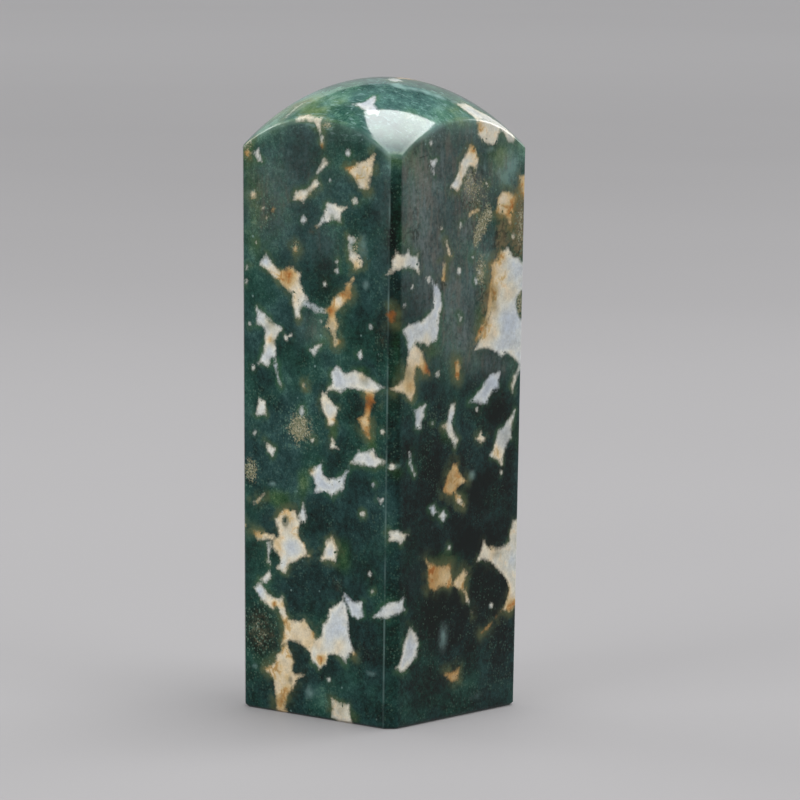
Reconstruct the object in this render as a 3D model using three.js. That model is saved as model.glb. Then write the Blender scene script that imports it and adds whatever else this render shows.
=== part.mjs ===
// Seal stone: a square column of polished moss agate, cut from one piece, with a pillow dome on top.
// Millimetres, +Z up, origin at the centre of the flat seal face that the stone stands on.
import * as THREE from "three";

// Driving dimensions, in millimetres
const SHOULDER_WIDTH = 25; // across the flats, where the corners meet the dome
const FOOT_WIDTH = 24.3; // across the flats at the seal face, because the column narrows a little
const SHOULDER_HEIGHT = 68; // from the seal face to the corners of the dome
const DOME_RISE = 8.3; // from those corners to the crown
const SHOULDER_CHAMFER = 1; // leg of the upright edges' chamfer, at the dome
const FOOT_CHAMFER = 1.25; // leg of the same chamfer, at the seal face
const CHAMFER_EASE = 0.4; // radius that softens both edges of a chamfer
const DOME_EDGE_RADIUS = 0.6; // rounds the arched edges between the dome and the faces
const FOOT_BEVEL = 0.4; // leg of the bevel round the seal face

// Steps of the mesh
const FACE_STEPS = 14; // across each face
const EASE_STEPS = 2; // round each edge of a chamfer
const EDGE_STEPS = 4; // round the arched edges
const DOME_RINGS = 10; // from the arched edges to the crown
const SEEKING_ROUNDS = 4; // to find where a leaning face meets the dome

const QUARTER_TURN = Math.PI / 2;
const EIGHTH_TURN = Math.PI / 4;

// The dome is ground to the same arc along X and along Y, and half of its rise belongs to each
const arcHalfSpan = (SHOULDER_WIDTH - SHOULDER_CHAMFER) / 2;
const arcRise = DOME_RISE / 2;
const domeRadius = (arcHalfSpan ** 2 + arcRise ** 2) / (2 * arcRise);
const crownHeight = SHOULDER_HEIGHT + DOME_RISE;

/** How far the dome's arc has dropped at a distance from its middle. */
function arcDrop(distance) {
  return domeRadius - Math.sqrt(domeRadius ** 2 - distance ** 2);
}

/** The slope of the same arc there. */
function arcSlope(distance) {
  return distance / Math.sqrt(domeRadius ** 2 - distance ** 2);
}

function domeHeight({ x, y }) {
  return crownHeight - arcDrop(x) - arcDrop(y);
}

/** The angle at which the dome falls away outwards at a place, against the horizontal. */
function domeFall(place, normal) {
  return Math.atan(arcSlope(place.x) * normal.x + arcSlope(place.y) * normal.y);
}

/** A size that changes evenly from the foot to the shoulder, at height z. */
function alongColumn(atFoot, atShoulder, z) {
  return THREE.MathUtils.lerp(atFoot, atShoulder, z / SHOULDER_HEIGHT);
}

/**
 * The column's section at height z, moved in by an inset: a square with chamfered corners.
 * The points run anticlockwise seen from above. Each has its place and its outward normal.
 */
function section(z, inset = 0) {
  const half = alongColumn(FOOT_WIDTH, SHOULDER_WIDTH, z) / 2 - inset;
  const chamfer = alongColumn(FOOT_CHAMFER, SHOULDER_CHAMFER, z) - inset * (2 - Math.SQRT2);
  const ease = Math.min(CHAMFER_EASE, chamfer); // the chamfer's flat is what its two eases leave
  const flatEnd = half - chamfer - ease * Math.tan(EIGHTH_TURN / 2);
  const points = [];
  for (let side = 0; side < 4; side++) {
    const add = (x, y, angle) => {
      const place = new THREE.Vector2(x, y).rotateAround(new THREE.Vector2(), side * QUARTER_TURN);
      const outward = angle + side * QUARTER_TURN;
      points.push({ place, normal: new THREE.Vector2(Math.cos(outward), Math.sin(outward)) });
    };
    for (let i = 1; i < FACE_STEPS; i++) {
      add(half, THREE.MathUtils.lerp(-flatEnd, flatEnd, i / FACE_STEPS), 0);
    }
    const eases = [
      { x: half - ease, y: flatEnd, from: 0 }, // out of this face into the chamfer
      { x: flatEnd, y: half - ease, from: EIGHTH_TURN }, // out of the chamfer into the next face
    ];
    for (const { x, y, from } of eases) {
      for (let i = 0; i <= EASE_STEPS; i++) {
        const angle = from + (EIGHTH_TURN * i) / EASE_STEPS;
        add(x + ease * Math.cos(angle), y + ease * Math.sin(angle), angle);
      }
    }
  }
  return points;
}

/** A level ring of the column's surface. */
function columnRing(z, inset) {
  return section(z, inset).map(({ place }) => new THREE.Vector3(place.x, place.y, z));
}

/** For each point of the section, where the bare face would meet the dome in a sharp edge. */
function sharpEdge() {
  return section(SHOULDER_HEIGHT).map((start, i) => {
    let { place } = start;
    for (let round = 0; round < SEEKING_ROUNDS; round++) {
      place = section(domeHeight(place))[i].place;
    }
    const turn = QUARTER_TURN - domeFall(place, start.normal); // from upright into the dome's slope
    return { z: domeHeight(place), turn };
  });
}

/** One ring of the rounding between the faces and the dome, at a share of its turn. */
function edgeRing(edge, share) {
  return edge.map(({ z: sharp, turn }, i) => {
    const start = sharp - DOME_EDGE_RADIUS * Math.tan(turn / 2);
    const z = start + DOME_EDGE_RADIUS * Math.sin(turn * share);
    const inset = DOME_EDGE_RADIUS * (1 - Math.cos(turn * share));
    const { place } = section(z, inset)[i];
    return new THREE.Vector3(place.x, place.y, z);
  });
}

/** The last ring of that rounding, drawn in towards the crown and laid on the dome. */
function domeRing(rim, share) {
  return rim.map(({ x, y }) => {
    const place = new THREE.Vector2(x, y).multiplyScalar(share);
    return new THREE.Vector3(place.x, place.y, domeHeight(place));
  });
}

/** A closed body over rings of equal length, from the lowest up, with a point that ends each way. */
function closedBody(rings, lowEnd, highEnd) {
  const count = rings[0].length;
  const vertices = [lowEnd, ...rings.flat(), highEnd];
  const high = vertices.length - 1;
  const at = (ring, i) => 1 + ring * count + (i % count);
  const triangles = [];
  for (let i = 0; i < count; i++) {
    triangles.push(0, at(0, i + 1), at(0, i));
    for (let ring = 1; ring < rings.length; ring++) {
      triangles.push(at(ring - 1, i), at(ring - 1, i + 1), at(ring, i + 1));
      triangles.push(at(ring - 1, i), at(ring, i + 1), at(ring, i));
    }
    triangles.push(at(rings.length - 1, i), at(rings.length - 1, i + 1), high);
  }
  const geometry = new THREE.BufferGeometry().setFromPoints(vertices).setIndex(triangles);
  geometry.computeVertexNormals();
  return geometry;
}

/** The whole stone: seal face, bevel, four leaning faces with chamfers between them, and dome. */
function stoneGeometry() {
  const edge = sharpEdge();
  const rings = [columnRing(0, FOOT_BEVEL), columnRing(FOOT_BEVEL, 0)];
  for (let i = 0; i <= EDGE_STEPS; i++) rings.push(edgeRing(edge, i / EDGE_STEPS));
  const rim = rings.at(-1);
  for (let i = 1; i < DOME_RINGS; i++) rings.push(domeRing(rim, 1 - i / DOME_RINGS));
  return closedBody(rings, new THREE.Vector3(0, 0, 0), new THREE.Vector3(0, 0, crownHeight));
}

const mossAgate = new THREE.MeshStandardMaterial({ color: 0x2c4a40, roughness: 0.12, metalness: 0 });

const sealStone = new THREE.Mesh(stoneGeometry(), mossAgate);
sealStone.name = "seal_stone";

const seal = new THREE.Group();
seal.name = "seal";
seal.add(sealStone);

export default seal;
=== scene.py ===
"""The looks of the seal stone: polished green moss agate with a pale figure, in a small photo studio.

Millimetres are used throughout, and become metres where something enters Blender. The stone's form is
worked out as in its CAD source but with a finer mesh, because the figure of the stone lies in the mesh:
outlines placed on what the photograph shows, and the same ones turned over and bent on the rest.
"""

from math import cos, pi, radians, sin, sqrt, tan

import bpy
import numpy as np
from mathutils import Matrix, Vector


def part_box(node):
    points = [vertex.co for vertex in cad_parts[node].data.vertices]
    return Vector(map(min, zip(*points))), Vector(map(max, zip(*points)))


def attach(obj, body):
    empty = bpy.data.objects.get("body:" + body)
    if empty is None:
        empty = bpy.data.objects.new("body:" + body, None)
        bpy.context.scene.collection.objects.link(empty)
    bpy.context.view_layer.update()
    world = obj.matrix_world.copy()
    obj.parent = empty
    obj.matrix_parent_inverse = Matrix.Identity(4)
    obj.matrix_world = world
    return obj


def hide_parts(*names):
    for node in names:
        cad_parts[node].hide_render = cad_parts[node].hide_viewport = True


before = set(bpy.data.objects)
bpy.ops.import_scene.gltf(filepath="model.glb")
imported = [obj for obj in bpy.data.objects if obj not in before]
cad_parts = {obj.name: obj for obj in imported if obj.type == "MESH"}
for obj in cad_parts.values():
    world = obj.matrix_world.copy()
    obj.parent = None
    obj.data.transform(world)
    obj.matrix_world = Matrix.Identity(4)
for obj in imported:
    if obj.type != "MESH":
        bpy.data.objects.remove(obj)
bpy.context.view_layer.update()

MM = 0.001  # metres in a millimetre

# The stone's sizes, as in its CAD source
CROWN_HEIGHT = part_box("seal_stone")[1].z / MM
SHOULDER_WIDTH = 25.0
FOOT_WIDTH = 24.3
DOME_RISE = 8.3
SHOULDER_HEIGHT = CROWN_HEIGHT - DOME_RISE
SHOULDER_CHAMFER = 1.0
FOOT_CHAMFER = 1.25
CHAMFER_EASE = 0.4
DOME_EDGE_RADIUS = 0.6
FOOT_BEVEL = 0.4

# Steps of the mesh, about a third of a millimetre each
FACE_STEPS = 72
EASE_STEPS = 3
CHAMFER_STEPS = 4
COLUMN_RINGS = 212
EDGE_RINGS = 5
DOME_RINGS = 36
FOOT_RINGS = 12

ARC_HALF_SPAN = (SHOULDER_WIDTH - SHOULDER_CHAMFER) / 2
ARC_RISE = DOME_RISE / 2
DOME_RADIUS = (ARC_HALF_SPAN**2 + ARC_RISE**2) / (2 * ARC_RISE)

EDGE_ROUNDS = 5  # rounds of working out where the sides meet the dome
TINY = 1e-9  # stands for nothing in a sum or length that something is divided by

# Zones of the surface
FOOT, COLUMN, EDGE, DOME = range(4)

# The sides run anticlockwise seen from above, and the unrolled surface has the front side in its middle
RIGHT_SIDE, BACK_SIDE, LEFT_SIDE, FRONT_SIDE = range(4)
UNROLLED_PLACE = {LEFT_SIDE: -1, FRONT_SIDE: 0, RIGHT_SIDE: 1, BACK_SIDE: 2}


# The form of the stone


def section_stations():
    """The points round one side and the chamfer after it, as (share across, share of the cut, angle)."""
    stations = [(2 * i / FACE_STEPS - 1, 0, 0) for i in range(1, FACE_STEPS)]
    stations += [(1, 0, pi / 4 * i / EASE_STEPS) for i in range(EASE_STEPS + 1)]
    stations += [(1, i / CHAMFER_STEPS, pi / 4) for i in range(1, CHAMFER_STEPS)]
    stations += [(1, 1, pi / 4 + pi / 4 * i / EASE_STEPS) for i in range(EASE_STEPS + 1)]
    return np.array(stations, float)


STATIONS = section_stations()
SIDE = np.repeat(np.arange(4), len(STATIONS))
ACROSS, CUT, ANGLE = np.tile(STATIONS, (4, 1)).T
COLUMNS = len(SIDE)
ON_CHAMFER = 1 - np.abs(ANGLE - pi / 4) / (pi / 4)
ON_FIRST_EASE = ((CUT == 0) & (ANGLE > 0) & (ANGLE < pi / 4)).astype(float)


def along_column(at_foot, at_shoulder, z):
    return at_foot + (at_shoulder - at_foot) * z / SHOULDER_HEIGHT


def flat_sizes(z, inset=0.0):
    """Half of the width across the flats, the ease radius, and half of the flat of one face."""
    half = along_column(FOOT_WIDTH, SHOULDER_WIDTH, z) / 2 - inset
    chamfer = along_column(FOOT_CHAMFER, SHOULDER_CHAMFER, z) - inset * (2 - sqrt(2))
    ease = np.minimum(CHAMFER_EASE, chamfer)
    return half, ease, half - chamfer - ease * tan(pi / 8)


def section(z, inset=0.0):
    """The x and y of each point round the column, at the height z that each has."""
    half, ease, flat_end = flat_sizes(z, inset)
    outward = half - ease - CUT * (half - ease - flat_end) + ease * np.cos(ANGLE)
    along = ACROSS * flat_end + CUT * (half - ease - flat_end) + ease * np.sin(ANGLE)
    turn = SIDE * pi / 2
    x = outward * np.cos(turn) - along * np.sin(turn)
    y = outward * np.sin(turn) + along * np.cos(turn)
    return np.stack([x, y], -1)


def side_length(z):
    """From the middle of one face to the middle of the next, over the chamfer."""
    half, ease, flat_end = flat_sizes(z)
    return 2 * flat_end + ease * pi / 2 + sqrt(2) * (half - ease - flat_end)


def unrolled(z):
    """How far each point lies from the middle of the front face, measured along the surface."""
    half, ease, flat_end = flat_sizes(z)
    along = ACROSS * flat_end + ease * ANGLE + CUT * sqrt(2) * (half - ease - flat_end)
    places = np.array([UNROLLED_PLACE[side] for side in range(4)])[SIDE]
    return along + places * side_length(z)


def arc_drop(distance):
    return DOME_RADIUS - np.sqrt(DOME_RADIUS**2 - distance**2)


def arc_slope(distance):
    return distance / np.sqrt(DOME_RADIUS**2 - distance**2)


def dome_height(place):
    return CROWN_HEIGHT - arc_drop(place[:, 0]) - arc_drop(place[:, 1])


def sharp_edge():
    """Where each point of the section would meet the dome in a sharp edge, and the turn made there."""
    z = np.full(COLUMNS, SHOULDER_HEIGHT)
    for _ in range(EDGE_ROUNDS):
        z = dome_height(section(z))
    place = section(z)
    outward = SIDE * pi / 2 + ANGLE
    fall = np.arctan(arc_slope(place[:, 0]) * np.cos(outward) + arc_slope(place[:, 1]) * np.sin(outward))
    return z, pi / 2 - fall


class Rings:
    """The stone's level rings from the foot to the crown, with their place on the unrolled surface."""

    def __init__(self):
        self.points = []
        self.across = []
        self.height = []
        self.zone = []
        self.rim_height = None  # where the rounding below the dome starts

    def add(self, zone, place, z, height):
        z = np.broadcast_to(z, COLUMNS).astype(float)
        self.points.append(np.column_stack([place, z]))
        self.across.append(unrolled(np.clip(z, 0, SHOULDER_HEIGHT + ARC_RISE)))
        self.height.append(np.broadcast_to(height, COLUMNS).astype(float))
        self.zone.append(zone)


def stone_rings():
    rings = Rings()
    nothing = np.zeros(COLUMNS)
    bevel_ring = section(nothing, FOOT_BEVEL)
    for i in range(1, FOOT_RINGS + 1):
        rings.add(FOOT, bevel_ring * i / FOOT_RINGS, 0.0, FOOT_BEVEL * (1 - sqrt(2)))
    sharp, turn = sharp_edge()
    rounding_start = sharp - DOME_EDGE_RADIUS * np.tan(turn / 2)
    rings.rim_height = rounding_start
    for i in range(COLUMN_RINGS):
        z = FOOT_BEVEL + (rounding_start - FOOT_BEVEL) * i / COLUMN_RINGS
        rings.add(COLUMN, section(z), z, z)
    for i in range(EDGE_RINGS + 1):
        turned = turn * i / EDGE_RINGS
        z = rounding_start + DOME_EDGE_RADIUS * np.sin(turned)
        place = section(z, DOME_EDGE_RADIUS * (1 - np.cos(turned)))
        rings.add(EDGE, place, z, rounding_start + DOME_EDGE_RADIUS * turned)
    rim = rings.points[-1][:, :2]
    for i in range(1, DOME_RINGS):
        place = rim * (1 - i / DOME_RINGS)
        rings.add(DOME, place, dome_height(place), rings.height[-1])
    return rings


# The figure of the stone. Each light patch is (warmth, tips): its sides run hollow from tip to tip,
# because it fills the gap between round dark cells. Warmth goes from 0, a bluish white, over white,
# cream and ochre to 1, rust. Tips are (mm from the face's middle along the surface, mm above the foot).

FRONT_PATCHES = [
    (0.18, [(-0.4, 71.6), (0.8, 71.9), (0.8, 70.9), (1.1, 69.6), (1.0, 68.5), (0.7, 69.6), (0.3, 70.6)]),
    (0.1, [(-10.0, 67.3), (-9.0, 67.9), (-8.5, 66.3), (-9.0, 66.4), (-9.5, 66.9)]),
    (0.15, [(1.2, 67.2), (2.0, 66.8), (1.5, 66.3), (0.2, 65.2), (0.7, 66.2)]),
    (0.34, [(4.7, 66.1), (6.9, 67.0), (9.2, 68.0), (8.8, 66.1), (8.2, 64.0), (7.6, 63.9), (6.8, 64.0),
     (5.9, 65.2)]),
    (0.2, [(-3.5, 62.0), (-3.2, 63.0), (-1.6, 63.4), (-0.6, 64.2), (0.2, 64.6), (0.9, 64.0),
     (-0.6, 63.1), (-2.0, 61.9)]),
    (0.15, [(1.8, 62.1), (3.1, 61.7), (4.9, 61.6), (4.0, 60.9), (3.9, 59.9), (2.6, 60.0), (0.0, 58.9),
     (1.2, 60.2)]),
    (0.05, [(-2.4, 59.8), (-1.9, 60.2), (-1.5, 59.7), (-2.0, 59.3)]),
    (0.25, [(5.1, 58.3), (5.9, 58.2), (6.4, 58.0), (6.1, 56.8), (6.8, 55.9), (7.4, 55.3), (7.1, 54.6),
     (6.1, 54.4), (5.4, 55.6), (5.1, 56.8)]),
    (0.2, [(-8.8, 54.1), (-7.7, 55.2), (-5.8, 53.4), (-3.6, 54.0), (-2.3, 53.2), (-2.5, 52.0),
     (-1.9, 51.4), (-1.2, 50.4), (-2.2, 49.6), (-2.4, 47.9), (-3.0, 48.1), (-3.4, 49.4), (-3.6, 50.9),
     (-4.7, 51.5), (-6.7, 52.8)]),
    (0.0, [(-1.8, 50.2), (0.0, 49.8), (1.9, 49.4), (1.7, 48.8), (0.2, 48.8), (-1.8, 49.6)]),
    (0.45, [(5.9, 53.3), (4.8, 52.5), (3.1, 50.8), (1.8, 49.4), (2.2, 48.4), (1.4, 47.2), (2.4, 46.6),
     (3.1, 45.1), (3.9, 45.5), (3.3, 46.4), (3.5, 47.6), (3.1, 49.0), (4.5, 50.1), (5.8, 51.2),
     (5.5, 52.3)]),
    (0.1, [(-9.5, 48.9), (-8.0, 48.0), (-5.2, 46.6), (-5.9, 45.8), (-6.1, 44.4), (-6.2, 42.5),
     (-6.8, 43.1), (-7.5, 41.9), (-9.0, 42.1), (-8.1, 43.6), (-8.0, 46.0), (-9.2, 46.8)]),
    (0.05, [(-6.5, 42.1), (-6.0, 42.1), (-5.3, 39.6), (-5.8, 40.1)]),
    (0.1, [(-0.8, 44.2), (0.0, 44.8), (1.4, 45.3), (0.5, 44.5), (-0.2, 43.7)]),
    (0.05, [(6.5, 44.3), (7.2, 44.8), (7.4, 44.2), (7.0, 43.9)]),
    (0.12, [(3.4, 42.7), (2.6, 41.8), (2.9, 40.9), (2.0, 39.7), (3.9, 39.7), (4.8, 40.2), (6.6, 40.3),
     (8.0, 39.9), (9.0, 39.9), (10.8, 40.8), (8.5, 41.7), (7.4, 42.2), (5.9, 42.4), (4.9, 41.8)]),
    (0.55, [(7.9, 40.2), (9.0, 40.1), (9.4, 38.8), (8.6, 37.8), (8.6, 36.1), (8.5, 34.6), (7.7, 35.2),
     (6.8, 36.5), (7.8, 37.2)]),
    (0.22, [(1.2, 39.4), (0.8, 38.4), (1.5, 36.9), (2.2, 35.6), (2.9, 35.7), (3.3, 36.9), (3.7, 37.7),
     (2.7, 38.3), (1.8, 39.1)]),
    (0.15, [(-8.8, 37.8), (-7.9, 37.5), (-7.8, 36.0), (-9.3, 35.7), (-9.1, 37.0)]),
    (0.05, [(-2.5, 37.0), (-1.9, 37.5), (-1.7, 36.9), (-2.0, 36.5)]),
    (0.15, [(2.7, 34.4), (3.1, 33.5), (3.7, 32.8), (2.4, 32.9)]),
    (0.08, [(6.8, 32.9), (8.0, 32.7), (9.1, 33.4), (9.6, 32.6), (10.8, 31.9), (9.4, 31.2), (8.4, 31.3),
     (6.7, 31.4), (5.5, 31.3)]),
    (0.03, [(1.1, 31.1), (0.5, 30.4), (-0.7, 29.7), (0.2, 28.4), (-0.1, 27.2), (2.0, 27.5), (2.7, 27.0),
     (3.3, 27.6), (4.4, 28.1), (5.3, 30.4), (3.3, 29.2), (2.1, 29.0), (1.4, 29.6)]),
    (0.1, [(-8.1, 32.8), (-6.3, 32.0), (-6.7, 31.1), (-7.4, 31.6)]),
    (0.1, [(9.9, 27.6), (10.7, 27.5), (10.3, 27.0)]),
    (0.1, [(-1.7, 25.7), (-1.3, 24.2), (-1.6, 23.5), (-2.6, 23.8)]),
    (0.3, [(-4.6, 24.8), (-3.1, 24.7), (-2.3, 23.4), (-2.6, 21.7), (-1.7, 20.9), (-0.9, 19.5),
     (-3.0, 18.7), (-4.1, 18.2), (-4.6, 17.1), (-5.8, 17.6), (-5.3, 18.7), (-6.7, 20.2), (-6.5, 21.1),
     (-5.5, 21.2), (-6.2, 23.3), (-5.4, 24.1)]),
    (0.36, [(-11.4, 22.5), (-9.3, 21.9), (-6.4, 21.5), (-6.3, 20.8), (-9.1, 20.6), (-10.8, 21.8)]),
    (0.12, [(-7.5, 20.4), (-6.9, 20.4), (-7.0, 18.0), (-7.5, 18.1)]),
    (0.1, [(-7.1, 17.2), (-6.8, 16.4), (-7.7, 15.6), (-8.5, 15.8)]),
    (0.18, [(-9.6, 14.8), (-8.6, 15.5), (-7.3, 14.1), (-5.6, 13.6), (-5.0, 14.1), (-4.2, 11.6),
     (-4.6, 11.0), (-5.8, 12.9), (-6.7, 12.5), (-8.4, 13.4)]),
    (0.38, [(-4.9, 11.7), (-3.2, 11.3), (-1.4, 11.7), (-0.2, 10.4), (0.3, 9.2), (-0.5, 7.9),
     (-1.3, 8.5), (-2.6, 9.0), (-4.0, 8.9), (-5.2, 8.2), (-4.7, 9.8)]),
    (0.12, [(4.5, 14.9), (5.2, 14.1), (5.4, 12.6), (5.8, 9.9), (6.3, 9.0), (4.9, 7.3), (4.1, 8.2),
     (2.2, 8.0), (1.9, 6.8), (0.9, 6.2), (-0.3, 6.9), (-0.6, 8.2), (0.2, 9.4), (1.3, 10.1), (1.4, 11.4),
     (2.2, 12.1), (2.5, 13.5)]),
    (0.02, [(4.7, 15.5), (6.0, 14.8), (7.5, 14.8), (7.7, 13.3), (6.9, 12.9), (5.9, 13.1), (5.4, 14.2)]),
    (0.1, [(9.4, 13.3), (10.4, 14.2), (11.6, 15.2), (13.5, 15.6), (13.7, 14.2), (12.4, 13.8),
     (10.9, 13.3)]),
    (0.25, [(2.8, 22.2), (3.6, 20.9), (3.4, 19.1), (2.6, 19.4), (1.1, 19.3), (1.7, 20.4), (1.9, 21.5)]),
    (0.38, [(-4.3, 9.0), (-3.8, 7.6), (-3.3, 6.4), (-3.5, 5.2), (-2.0, 5.0), (-2.8, 4.0), (-4.0, 2.6),
     (-4.3, 1.6), (-4.3, -1.4), (-5.6, -3.4), (-6.3, -1.2), (-6.0, 1.4), (-6.5, 4.2), (-8.0, 5.1),
     (-6.3, 5.7), (-5.9, 6.8), (-5.1, 7.6)]),
    (0.2, [(2.7, 2.9), (4.4, 2.3), (5.6, 2.5), (6.1, 0.2), (6.8, -2.2), (4.9, -0.9), (2.9, 0.5)]),
    (0.15, [(-1.4, -2.2), (0.4, -1.6), (1.6, -3.4), (0.9, -5.0), (-0.4, -3.6)]),
    (0.3, [(8.2, -1.2), (9.4, -2.0), (11.4, -1.8), (10.2, -3.4), (9.6, -5.2), (8.6, -3.4)]),
    (0.84, [(11.0, 49.4), (11.6, 50.0), (12.4, 49.6), (12.2, 48.5), (11.6, 48.4)]),
    (0.36, [(-11.4, 69.0), (-10.8, 69.4), (-10.0, 70.2), (-10.4, 69.3), (-10.9, 68.5)]),
    (0.32, [(-9.7, 25.1), (-8.9, 25.7), (-7.9, 26.3), (-8.4, 25.7), (-9.2, 25.1)]),
    (0.4, [(-3.0, 5.0), (-2.2, 5.0), (-1.6, 5.0), (-2.6, 4.4), (-3.4, 3.0), (-3.6, 3.4)]),
]

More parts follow.
